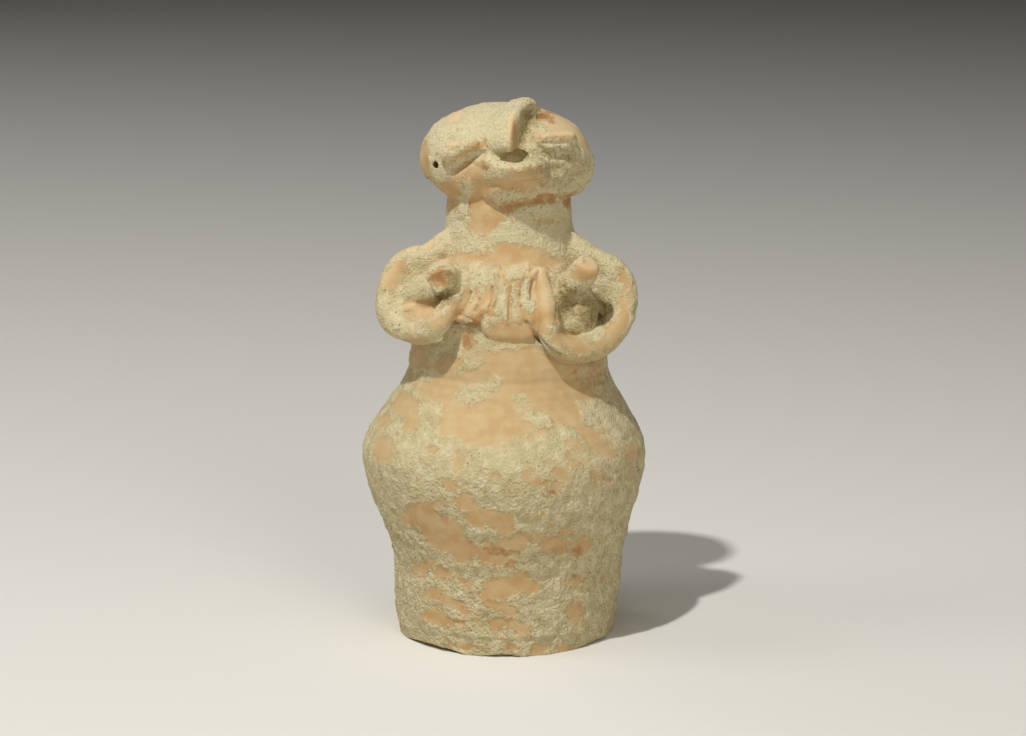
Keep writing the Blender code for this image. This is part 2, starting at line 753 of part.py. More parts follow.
def terracotta():
    """Fired orange clay, matt and unglazed."""
    made = bpy.data.materials.new("terracotta")
    made.use_nodes = True
    shader = made.node_tree.nodes["Principled BSDF"]
    shader.inputs["Base Color"].default_value = (0.62, 0.42, 0.24, 1.0)
    shader.inputs["Roughness"].default_value = 0.92
    shader.inputs["Metallic"].default_value = 0.0
    return made


def main():
    for old in list(bpy.data.objects):
        bpy.data.objects.remove(old)
    clay = collection(FIGURINE)
    cutters = collection("cutters")

    pieces = [thrown_body(clay), nose(clay), chest(clay)]
    pieces += head(clay) + eyes(clay) + jaw(clay) + breasts(clay)
    for arm in ARMS:
        pieces += [looped_arm(clay, arm), web(clay, arm)] + hand(clay, arm)

    figurine = luted(FIGURINE, clay, pieces)
    figurine.data.materials.append(terracotta())
    cuts = [hollow(cutters), ground(cutters), ear_hole(cutters), brow_chip(cutters)]
    cuts.append(mouth_hollow(cutters))
    for number, (bearing, half_length, height) in enumerate(FOOT_LIFTS, 1):
        cuts.append(foot_lift(cutters, number, bearing, half_length, height))
    for cut in cuts:
        boolean = figurine.modifiers.new(f"Cut the {cut.name}", "BOOLEAN")
        boolean.operation = "DIFFERENCE"
        boolean.solver = "EXACT"
        boolean.object = cut


main()
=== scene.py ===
"""How the terracotta fertility figurine looks: its modelled clay, its burial crust and its studio.

Every form is made in millimetres in the figurine's own frame: +Z is up, it faces -Y, and the
origin is the middle of the foot. "Right" and "left" are the figurine's own: its right is at -X.

The surface is described twice. The clay itself is built from the same thrown, rolled and
pressed forms as the solid, only finer, and is then worked with tool marks, finger grooves and
pits. What lies on the clay, bare patches and islands of crust, is placed in the plane of the
front view: millimetres across and up from the middle of the picture.
"""

import logging
import math
from dataclasses import dataclass
from enum import Enum
from functools import partial

import bmesh
import bpy
import numpy as np
from mathutils import Matrix, Vector


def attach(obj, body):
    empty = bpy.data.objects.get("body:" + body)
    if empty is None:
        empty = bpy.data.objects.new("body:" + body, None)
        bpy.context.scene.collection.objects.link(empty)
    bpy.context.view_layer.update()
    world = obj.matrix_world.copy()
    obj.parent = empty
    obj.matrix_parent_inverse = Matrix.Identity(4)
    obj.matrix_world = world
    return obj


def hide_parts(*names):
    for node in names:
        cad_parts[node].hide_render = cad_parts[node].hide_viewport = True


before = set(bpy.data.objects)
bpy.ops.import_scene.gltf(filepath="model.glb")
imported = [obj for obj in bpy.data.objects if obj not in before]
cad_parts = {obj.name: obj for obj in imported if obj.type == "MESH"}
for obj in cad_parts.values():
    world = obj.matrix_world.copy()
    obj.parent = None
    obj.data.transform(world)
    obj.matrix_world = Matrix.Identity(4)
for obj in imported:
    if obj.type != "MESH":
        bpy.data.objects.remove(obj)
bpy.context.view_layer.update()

MM = 0.001
NODE = "fertility_figurine"
BODY = "root"

log = logging.getLogger("figurine")

Points = np.ndarray
Values = np.ndarray
Pair = tuple[float, float]
Triple = tuple[float, float, float]
Socket = bpy.types.NodeSocket


def mix(low: float | Values, high: float | Values, share: float | Values) -> float | Values:
    """The value this share of the way from low to high."""
    return low + (high - low) * share


def ease(share: float | Values) -> Values:
    """A smooth step from 0 to 1, level at both ends."""
    held = np.clip(share, 0.0, 1.0)
    return held * held * (3.0 - 2.0 * held)


def signed_power(values: Values, power: float) -> Values:
    """Each value's size raised to a power, with its sign kept."""
    return np.copysign(np.abs(values) ** power, values)


def linear_colour(hex_code: str) -> tuple[float, float, float, float]:
    """The linear colour of an sRGB hex code.

    Args:
        hex_code: Six hexadecimal digits, red first, without a hash.

    Returns:
        Linear red, green and blue, and an alpha of 1.
    """
    parts = [int(hex_code[at : at + 2], 16) / 255.0 for at in (0, 2, 4)]
    linear = [c / 12.92 if c <= 0.04045 else ((c + 0.055) / 1.055) ** 2.4 for c in parts]
    return (*linear, 1.0)


def per_metre(size: float) -> float:
    """How many features of this many millimetres fit into a metre, as a pattern's scale."""
    return 1.0 / (size * MM)


def hashed(cells: np.ndarray, seed: int) -> Values:
    """A repeatable number from 0 to 1 for each whole-numbered cell.

    Args:
        cells: Whole numbers, one row of three for each cell.
        seed: Which of many such patterns.

    Returns:
        One value for each row.
    """
    x, y, z = (cells[..., axis].astype(np.int64) for axis in range(3))
    mixed = (x * 73856093) ^ (y * 19349663) ^ (z * 83492791) ^ (seed * 2654435761)
    mixed = (mixed ^ (mixed >> 13)) * 1274126177
    mixed = (mixed ^ (mixed >> 16)) & 0xFFFFFF
    return mixed / float(0xFFFFFF)


def noise(points: Points, size: float, seed: int, octaves: int = 1) -> Values:
    """Smooth lattice noise from -1 to 1: eased between hashed values at the corners of cubes.

    Args:
        points: Places in millimetres, one row each.
        size: The edge of the largest cubes, in millimetres.
        seed: Which of many such patterns.
        octaves: How many patterns are added, each half the size and half the strength.

    Returns:
        One value for each place.
    """
    total = np.zeros(len(points))
    strength = 0.0
    for octave in range(octaves):
        scaled = points * (2.0**octave / size)
        cell = np.floor(scaled)
        share = scaled - cell
        share = share * share * share * (share * (share * 6.0 - 15.0) + 10.0)
        sample = np.zeros(len(points))
        for corner in np.ndindex(2, 2, 2):
            weight = np.prod(np.where(corner, share, 1.0 - share), axis=1)
            sample += weight * hashed(cell + corner, seed + octave)
        total += (sample * 2.0 - 1.0) * 0.5**octave
        strength += 0.5**octave
    return total / strength


def nearest_seed(points: Points, size: float, seed: int) -> tuple[Values, Values]:
    """The distance to the nearest of the points scattered one to each cube.

    Args:
        points: Places in millimetres, one row each.
        size: The edge of the cubes, in millimetres.
        seed: Which of many such scatterings.

    Returns:
        The distance in cube edges, and a value from 0 to 1 that belongs to that nearest point.
    """
    scaled = points / size
    cell = np.floor(scaled)
    best = np.full(len(points), 9.0)
    mark = np.zeros(len(points))
    for step in np.ndindex(3, 3, 3):
        near = cell + (np.array(step) - 1.0)
        spot = near + np.stack([hashed(near, seed + axis) for axis in (1, 2, 3)], axis=1)
        distance = np.linalg.norm(scaled - spot, axis=1)
        closer = distance < best
        best = np.where(closer, distance, best)
        mark = np.where(closer, hashed(near, seed + 7), mark)
    return best, mark


@dataclass(frozen=True)
class Lump:
    """One closed lump of clay: its points in millimetres and its faces."""

    name: str
    points: Points
    faces: list[tuple[int, ...]]


def lump_of_rings(name: str, rings: Points) -> Lump:
    """A closed lump from rings of points, with a pole at the middle of its first and last ring.

    Args:
        name: What the lump is.
        rings: An array of rings by points round the ring by three coordinates.

    Returns:
        The lump, closed round every ring and at both ends.
    """
    count, sides = rings.shape[:2]
    poles = np.stack([rings[0].mean(axis=0), rings[-1].mean(axis=0)])
    points = np.concatenate([rings.reshape(-1, 3), poles])
    at = np.arange(count * sides).reshape(count, sides)
    after = np.roll(at, -1, axis=1)
    quads = np.stack([at[:-1], after[:-1], after[1:], at[1:]], axis=-1).reshape(-1, 4)
    first, last = len(points) - 2, len(points) - 1
    top = np.stack([np.full(sides, first), after[0], at[0]], axis=-1)
    bottom = np.stack([np.full(sides, last), at[-1], after[-1]], axis=-1)
    faces = [tuple(face) for face in quads.tolist() + top.tolist() + bottom.tolist()]
    return Lump(name, points, faces)


def turn_matrix(turn: Triple) -> np.ndarray:
    """The rotation about X, then Y, then Z, by these degrees."""
    x, y, z = (math.radians(angle) for angle in turn)
    about = Matrix.Rotation(z, 3, "Z") @ Matrix.Rotation(y, 3, "Y") @ Matrix.Rotation(x, 3, "X")
    return np.array(about)


def ball(
    name: str,
    centre: Points,
    half_axes: Triple,
    turn: Triple = (0.0, 0.0, 0.0),
    squareness: float = 0.0,
    sides: int = 64,
) -> Lump:
    """A ball of clay: sines and cosines of two angles, raised to a power below 1 to pat it square.

    Args:
        name: What the lump is.
        centre: Its middle.
        half_axes: Its half sizes before it is turned.
        turn: Degrees about X, Y and Z.
        squareness: 0 for an oval, nearer 1 for a block.
        sides: Points round its widest ring.

    Returns:
        The closed lump.
    """
    down = np.linspace(0.02, math.pi - 0.02, sides // 2)[:, None]
    round_ = np.linspace(0.0, math.tau, sides, endpoint=False)[None, :]
    shape = np.stack(
        [
            np.sin(down) * np.cos(round_),
            np.sin(down) * np.sin(round_),
            np.cos(down) * np.ones_like(round_),
        ],
        axis=-1,
    )
    shape = signed_power(shape, 1.0 - squareness) * np.array(half_axes)
    return lump_of_rings(name, shape @ turn_matrix(turn).T + np.asarray(centre))


def roll(
    name: str,
    path: Points,
    radii: Values,
    across: Triple = (0.0, 1.0, 0.0),
    sides: int = 28,
) -> Lump:
    """A roll of clay: a circle carried along a path, square to it, as wide as each radius.

    Args:
        name: What the lump is.
        path: The middle of the roll, point by point.
        radii: Its radius at each point.
        across: A direction that the path never runs along, which the circles are lined up by.
        sides: Points round each circle.

    Returns:
        The closed lump.
    """
    ahead = np.gradient(path, axis=0)
    ahead /= np.linalg.norm(ahead, axis=1, keepdims=True)
    first = np.cross(ahead, np.array(across))
    first /= np.linalg.norm(first, axis=1, keepdims=True)
    second = np.cross(ahead, first)
    angle = np.linspace(0.0, math.tau, sides, endpoint=False)
    ring = (
        first[:, None, :] * np.cos(angle)[None, :, None]
        + second[:, None, :] * np.sin(angle)[None, :, None]
    )
    return lump_of_rings(name, path[:, None, :] + ring * np.asarray(radii)[:, None, None])


def smooth_path(stops: Points, steps: int) -> Points:
    """A smooth curve through the stops: Catmull-Rom, with even steps between each pair.

    Args:
        stops: Rows of values that the curve passes through.
        steps: Steps from each stop to the next.

    Returns:
        The rows along the curve, both ends included.
    """
    padded = np.concatenate([2 * stops[:1] - stops[1:2], stops, 2 * stops[-1:] - stops[-2:-1]])
    share = np.arange(steps)[None, :, None] / steps
    a, b, c, d = (padded[at : at + len(stops) - 1, None, :] for at in range(4))
    curve = b + 0.5 * share * (
        c - a + share * (2 * a - 5 * b + 4 * c - d + share * (3 * (b - c) + d - a))
    )
    return np.concatenate([curve.reshape(-1, stops.shape[1]), stops[-1:]])


@dataclass(frozen=True)
class Picture:
    """The front view that surface details are placed in, and its camera."""

    focal_px: float = 2900.0
    width_px: float = 1026.0
    distance: float = 1020.0
    elevation: float = 12.1
    target: Triple = (2.5, 0.0, 94.0)

    def axes(self) -> tuple[Points, Points, Points]:
        """The directions that the picture is seen by.

        Returns:
            The unit directions to the right, up and away from the camera.
        """
        angle = math.radians(self.elevation)
        right = np.array([1.0, 0.0, 0.0])
        up = np.array([0.0, math.sin(angle), math.cos(angle)])
        away = np.array([0.0, math.cos(angle), -math.sin(angle)])
        return right, up, away

    def place(self, points: Points) -> Points:
        """Millimetres across and up at which places are seen.

        Args:
            points: Places in millimetres, one row each.

        Returns:
            Two columns: across to the right and up from the middle of the picture.
        """
        right, up, away = self.axes()
        offset = points - np.array(self.target)
        nearness = self.distance / (self.distance + offset @ away)
        return np.stack([offset @ right * nearness, offset @ up * nearness], axis=1)

    def facing(self, normals: Points) -> Values:
        """How squarely each surface faces the camera, from -1 away to 1 towards it."""
        return -(normals @ self.axes()[2])

    def camera(self) -> bpy.types.Object:
        """Makes the camera that sees this picture.

        Returns:
            The camera, linked to the scene and in use.
        """
        data = bpy.data.cameras.new("camera")
        data.sensor_width = 36.0
        data.lens = data.sensor_width * self.focal_px / self.width_px
        data.clip_start, data.clip_end = 0.05, 20.0
        made = bpy.data.objects.new("camera", data)
        away = self.axes()[2]
        made.location = (np.array(self.target) - away * self.distance) * MM
        made.rotation_euler = Vector(away).to_track_quat("-Z", "Y").to_euler()
        bpy.context.scene.collection.objects.link(made)
        bpy.context.scene.camera = made
        return made


@dataclass(frozen=True)
class ThrownBody:
    """The wheel-thrown bell: stages of height and radius, a wall, and a hollow in it."""

    # How far the clay runs on below the foot before it is cut, and the stages' heights
    trim: float = 6.0
    stem_foot: float = 8.5
    hip_foot: float = 25.0
    hip_top: float = 65.0
    waist: float = 98.0
    chest: float = 113.5
    neck: float = 149.0
    head_centre: float = 168.8
    # Outer radii at the stages
    foot_radius: float = 38.0
    stem_radius: float = 39.1
    waisted_radius: float = 40.2
    hip_radius: float = 49.6
    waist_radius: float = 34.4
    chest_radius: float = 32.2
    neck_radius: float = 21.6
    neck_in_head: float = 19.9
    # How far the middle strays to the left at the stages
    stem_sway: float = 0.8
    hip_sway: float = -0.9
    waist_sway: float = 1.0
    neck_sway: float = 1.1
    # Below 1 where the stretch above a stage turns early
    hip_lateness: float = 0.88
    shoulder_lateness: float = 0.95
    # Depth over width above the waist, and the wall's thickness
    torso_depth_share: float = 0.96
    foot_wall: float = 7.0
    hip_wall: float = 7.5
    chest_wall: float = 8.0
    # Clay above the hollow, up to the neck, and how square the hollow's top is
    top_clay: float = 14.0
    dome_power: float = 2.6
    # Ridges left by the potter's fingers: height, spacing and start
    finger_ridges: tuple[Triple, ...] = ((0.28, 8.2, 0.0), (0.14, 4.9, 1.0))
    ring_step: float = 0.8
    sides: int = 180
    hollow_rings: int = 110
    hollow_sides: int = 96

    def stations(self) -> np.ndarray:
        """The stages that the body is thrown in.

        Returns:
            Rows of height, radius, sway and lateness, from below the foot to inside the head.
        """
        return np.array(
            [
                (-self.trim, self.foot_radius, 0.0, 1.0),
                (0.0, self.foot_radius, 0.0, 1.0),
                (self.stem_foot, self.stem_radius, 0.0, 1.0),
                (self.hip_foot, self.waisted_radius, self.stem_sway, self.hip_lateness),
                (self.hip_top, self.hip_radius, self.hip_sway, 1.0),
                (self.waist, self.waist_radius, self.waist_sway, 1.0),
                (self.chest, self.chest_radius, self.waist_sway, self.shoulder_lateness),
                (self.neck, self.neck_radius, self.neck_sway, 1.0),
                (self.head_centre, self.neck_in_head, self.neck_sway, 1.0),
            ]
        )

    def throw(self, height: Values) -> tuple[Values, Values]:
        """The outer radius and the sway at each height, eased from station to station.

        Args:
            height: Heights in millimetres.

        Returns:
            The radii and the sways.
        """
        rows = self.stations()
        held = np.clip(height, rows[0, 0], rows[-1, 0])
        at = np.clip(np.searchsorted(rows[:, 0], held) - 1, 0, len(rows) - 2)
        low, high = rows[at], rows[at + 1]
        share = np.clip((held - low[..., 0]) / (high[..., 0] - low[..., 0]), 0.0, 1.0)
        radius = mix(low[..., 1], high[..., 1], ease(share ** low[..., 3]))
        return radius, mix(low[..., 2], high[..., 2], ease(share))

    def depth_share(self, height: Values) -> Values:
        """Depth over width: round at the foot, flatter above the waist."""
        above = (height - self.hip_top) / (self.chest - self.hip_top)
        return mix(1.0, self.torso_depth_share, ease(above))

    def wall(self, height: Values) -> Values:
        """The thrown wall's thickness at each height."""
        below = mix(self.foot_wall, self.hip_wall, ease(height / self.hip_top))
        rise = (height - self.hip_top) / (self.chest - self.hip_top)
        above = mix(self.hip_wall, self.chest_wall, ease(rise))
        return np.where(height < self.hip_top, below, above)

    def on_skin(self, bearing: Values, stand_off: Values, height: Values) -> Points:
        """Places on the body's skin.

        Args:
            bearing: Degrees round from the front, positive towards +X.
            stand_off: How far outside the skin.
            height: Heights in millimetres.

        Returns:
            One row of coordinates for each.
        """
        bearing, stand_off, height = np.broadcast_arrays(bearing, stand_off, height)
        angle = np.radians(bearing.astype(float))
        radius, sway = self.throw(height.astype(float))
        reach = radius + stand_off
        depth = self.depth_share(height.astype(float))
        return np.stack(
            [sway + reach * np.sin(angle), -reach * depth * np.cos(angle), height.astype(float)],
            axis=-1,
        )

    def revolved(self, name: str, radius: Values, height: Values, sides: int) -> Lump:
        """A solid turned about the axis: a circle at each height, swayed and flattened.

        Args:
            name: What the lump is.
            radius: The radius of each ring.
            height: The height of each ring.
            sides: Points round each ring.

        Returns:
            The closed lump.
        """
        angle = np.linspace(0.0, math.tau, sides, endpoint=False)[None, :]
        radius, height = radius[:, None], height[:, None]
        x = self.throw(height)[1] + radius * np.cos(angle)
        y = radius * self.depth_share(height) * np.sin(angle)
        return lump_of_rings(name, np.stack([x, y, height + 0.0 * angle], axis=-1))

    def solid(self) -> Lump:
        """The thrown body without its hollow."""
        height = np.arange(-self.trim, self.head_centre, self.ring_step)
        return self.revolved("thrown body", self.throw(height)[0], height, self.sides)

    def hollow(self) -> Lump:
        """The space inside the wall, closed in a dome under the neck.

        Returns:
            The closed lump: the outer radius less the wall, with two waves for the ridges that
            the potter's fingers left, narrowed by a rounded curve near its top.
        """
        top = self.neck - self.top_clay
        share = np.linspace(0.0, 1.0, self.hollow_rings)
        height = mix(-self.trim - 1.0, top, 1.0 - (1.0 - share) ** 1.35)
        left = (top - height) / (top - self.waist)
        dome = np.sqrt(np.maximum(0.0, 1.0 - np.maximum(0.0, 1.0 - left) ** self.dome_power))
        ridges = sum(
            rise * np.sin(height * math.tau / spacing + start)
            for rise, spacing, start in self.finger_ridges
        )
        radius = (self.throw(height)[0] - self.wall(height) + ridges) * dome
        return self.revolved("hollow", np.maximum(radius, 0.05), height, self.hollow_sides)


@dataclass(frozen=True)
class Head:
    """The ball of the head with its ear flaps, and the face pressed on to it."""

    body: ThrownBody
    half_width: float = 29.0
    half_depth: float = 23.2
    half_height: float = 18.8
    forward: float = 1.2
    sway: float = 0.3
    roll_angle: float = 3.0
    squareness: float = 0.05
    ear_half_axes: Triple = (9.0, 7.2, 10.5)
    ear_stand_off: float = 1.0
    ear_drops: Pair = (-0.02, 0.16)
    face_turn: float = 5.0
    # The nose's crest from the forehead to its tip: across, forward and up, then how wide the
    # crest is, and how wide the root is to each side
    nose_crests: tuple[Triple, ...] = (
        (6.8, -1.5, 18.5),
        (6.0, 6.0, 21.6),
        (1.9, 22.3, 16.6),
        (1.0, 29.8, 8.6),
        (1.0, 26.6, 4.2),
    )
    nose_crest_widths: tuple[float, ...] = (6.0, 7.0, 2.6, 2.2, 2.6)
    nose_right_bases: tuple[float, ...] = (22.0, 26.0, 24.0, 13.0, 6.0)
    nose_left_bases: tuple[float, ...] = (12.0, 10.0, 7.0, 6.0, 5.0)
    nose_depth: float = 15.0
    eye_length: float = 13.8
    eye_radius: float = 2.9
    eye_swell: float = 0.36
    # Each eye's place across and up as shares, its slant in degrees and its stand-off
    right_eye: tuple[float, float, float, float] = (-0.54, 0.31, -22.0, 1.9)
    left_eye: tuple[float, float, float, float] = (0.56, 0.42, 3.0, 0.9)
    # Places on the face, forward and up as shares of the half depth and half height
    chin_across: float = 2.75
    jaw_place: Pair = (0.74, -0.29)
    jaw_half_axes: Triple = (12.2, 11.8, 7.4)
    jaw_turn: Triple = (-26.0, -6.0, 22.0)
    jaw_squareness: float = 0.22
    lip_radius: float = 2.4
    # The lip's shift to the right as a share of the head's half width, and its reach to each
    # side as a share of the jaw's
    lip_shift: float = 0.07
    lip_reach: float = 0.78
    # How far forward and up the lip lies, as shares of the head's, at its middle and its ends
    lip_forward: Pair = (1.17, 0.95)
    lip_up: Pair = (-0.05, 0.14)
    cheek_across: float = 14.5
    cheek_place: Pair = (0.52, -0.17)
    cheek_half_axes: Triple = (10.5, 7.5, 8.0)
    cheek_turn: Triple = (0.0, 0.0, 30.0)
    mouth_place: Pair = (1.02, 0.18)
    mouth_half_axes: Triple = (5.0, 5.2, 2.9)
    mouth_turn: Triple = (-12.0, -8.0, 0.0)
    # Places on the front, across and up as shares of the half width and half height
    chip_place: Pair = (0.45, 0.84)
    chip_half_axes: Triple = (2.7, 3.4, 4.2)
    chip_turn: Triple = (20.0, 25.0, 0.0)
    ear_hole_place: Pair = (-0.83, -0.04)
    ear_hole_aim: Triple = (-0.30, -1.0, 0.05)
    ear_hole_radius: float = 1.35
    ear_hole_depth: float = 5.0

    def at(self, across: Values, forward: Values, up: Values) -> Points:
        """Places measured from the middle of the head.

        Args:
            across: How far to the figurine's left.
            forward: How far forward.
            up: How far up.

        Returns:
            One row of coordinates for each.
        """
        across, forward, up = np.broadcast_arrays(across, forward, up)
        return np.stack(
            [self.sway + across, -self.forward - forward, self.body.head_centre + up], axis=-1
        )

    def on_face(self, across: float, place: Pair) -> Points:
        """A place this far across, at shares of the half depth forward and half height up."""
        forward, up = place
        return self.at(across, self.half_depth * forward, self.half_height * up)

    def on_front(self, across: Values, up: Values) -> Points:
        """Places on the front of the head, at shares of its half width and half height."""
        forward = self.half_depth * np.sqrt(np.maximum(0.0, 1.0 - across**2 - up**2))
        return self.at(across * self.half_width, forward, up * self.half_height)

    def ball_and_ears(self) -> list[Lump]:
        """The ball of the head and its ear flaps.

        Returns:
            The patted ball, then the right and the left flap.
        """
        axes = (self.half_width, self.half_depth, self.half_height)
        turn = (0.0, self.roll_angle, 0.0)
        made = [ball("head", self.at(0.0, 0.0, 0.0), axes, turn, self.squareness, 120)]
        for side, drop in zip((-1.0, 1.0), self.ear_drops):
            across = side * (self.half_width + self.ear_stand_off - self.ear_half_axes[0])
            centre = self.at(across, 0.0, -self.half_height * drop)
            made.append(ball("ear flap", centre, self.ear_half_axes))
        return made

    def nose(self) -> Lump:
        """The nose's fin: a section that widens from a rounded crest to its root, along a curve.

        Returns:
            The closed lump. Each section's half width grows from the crest's to the root's with
            the depth below the crest, and closes over the crest in a half circle.
        """
        widths = zip(self.nose_crest_widths, self.nose_right_bases, self.nose_left_bases)
        stops = np.array([(*crest, *row) for crest, row in zip(self.nose_crests, widths)])
        rows = smooth_path(stops, 10)
        crest = self.at(rows[:, 0], rows[:, 1], rows[:, 2])
        inwards = self.at(0.0, 0.0, 0.0) - crest
        inwards[:, 0] = 0.0
        inwards /= np.linalg.norm(inwards, axis=1, keepdims=True)
        depth = np.concatenate([np.linspace(0.0, 1.0, 12) ** 1.6, np.linspace(1.0, 0.0, 12) ** 1.6])
        side = np.repeat([1.0, -1.0], 12)
        cap = np.sqrt(1.0 - (1.0 - np.clip(depth * self.nose_depth / 2.0, 0.0, 1.0)) ** 2)
        base = np.where(side > 0.0, rows[:, 5:6], rows[:, 4:5])
        half = mix(rows[:, 3:4] / 2.0, base, depth[None, :] ** 1.15) * cap[None, :] * side
        rings = crest[:, None, :] + inwards[:, None, :] * (depth * self.nose_depth)[None, :, None]
        rings = rings + np.array([1.0, 0.0, 0.0]) * half[:, :, None]
        return lump_of_rings("nose", rings)

    def eye(self, seat: tuple[float, float, float, float]) -> Lump:
        """A long pellet pressed on aslant, thick at its outer end.

        Args:
            seat: Shares of the head's half width and half height at its middle, its slant in
                degrees and how far its middle line stands off the head, in millimetres.

        Returns:
            The closed lump.
        """
        across, up, slant, stand_off = seat
        share = np.linspace(-1.0, 1.0, 25)
        middle = self.on_front(np.array(across), np.array(up))
        angle = math.radians(slant)
        x = middle[0] + math.cos(angle) * self.eye_length / 2 * share - self.sway
        z = middle[2] - math.sin(angle) * self.eye_length / 2 * share - self.body.head_centre
        path = self.on_front(x / self.half_width, z / self.half_height)
        path[:, 1] -= stand_off
        swell = np.sqrt(np.maximum(0.04, 1.0 - share**4))
        swell = swell * (1.0 + self.eye_swell * share * math.copysign(1.0, across))
        return roll("eye", path, self.eye_radius * swell)

    def jaw_and_lip(self) -> list[Lump]:
        """The lower face, turned to the left.

        Returns:
            The jaw's blunt block, the lip that curves round it and the left cheek.
        """
        centre = self.on_face(self.chin_across, self.jaw_place)
        jaw = ball("jaw", centre, self.jaw_half_axes, self.jaw_turn, self.jaw_squareness)
        swing = np.linspace(-1.0, 1.0, 31)
        bend = swing * swing
        middle = self.face_turn - self.half_width * self.lip_shift
        path = self.at(
            middle + self.jaw_half_axes[0] * self.lip_reach * swing,
            self.half_depth * mix(*self.lip_forward, bend),
            self.half_height * mix(*self.lip_up, bend),
        )
        radii = self.lip_radius * mix(1.0, 0.6, np.abs(swing))
        cheek = self.on_face(self.cheek_across, self.cheek_place)
        return [
            jaw,
            roll("lip", path, radii, across=(0.0, 0.0, 1.0)),
            ball("left cheek", cheek, self.cheek_half_axes, self.cheek_turn),
        ]

    def lumps(self) -> list[Lump]:
        """Every lump of clay of the head."""
        made = self.ball_and_ears() + [self.nose(), self.eye(self.right_eye)]
        return made + [self.eye(self.left_eye)] + self.jaw_and_lip()

    def cuts(self) -> list[Lump]:
        """What is pressed, chipped and pierced out of the head.

        Returns:
            The mouth's hollow, the chip in the left brow and the hole through the right ear.
        """
        mouth = self.on_face(self.chin_across, self.mouth_place)
        chip = self.on_front(*np.array(self.chip_place))
        start = self.on_front(*np.array(self.ear_hole_place))
        aim = np.array(self.ear_hole_aim)
        aim /= np.linalg.norm(aim)
        hole = start + aim * np.linspace(-self.ear_hole_depth, self.ear_hole_depth, 12)[:, None]
        radii = np.full(len(hole), self.ear_hole_radius)
        return [
            ball("mouth hollow", mouth, self.mouth_half_axes, self.mouth_turn),
            ball("brow chip", chip, self.chip_half_axes, self.chip_turn, 0.1, 24),
            roll("ear hole", hole, radii, across=(0.0, 0.0, 1.0), sides=20),
        ]


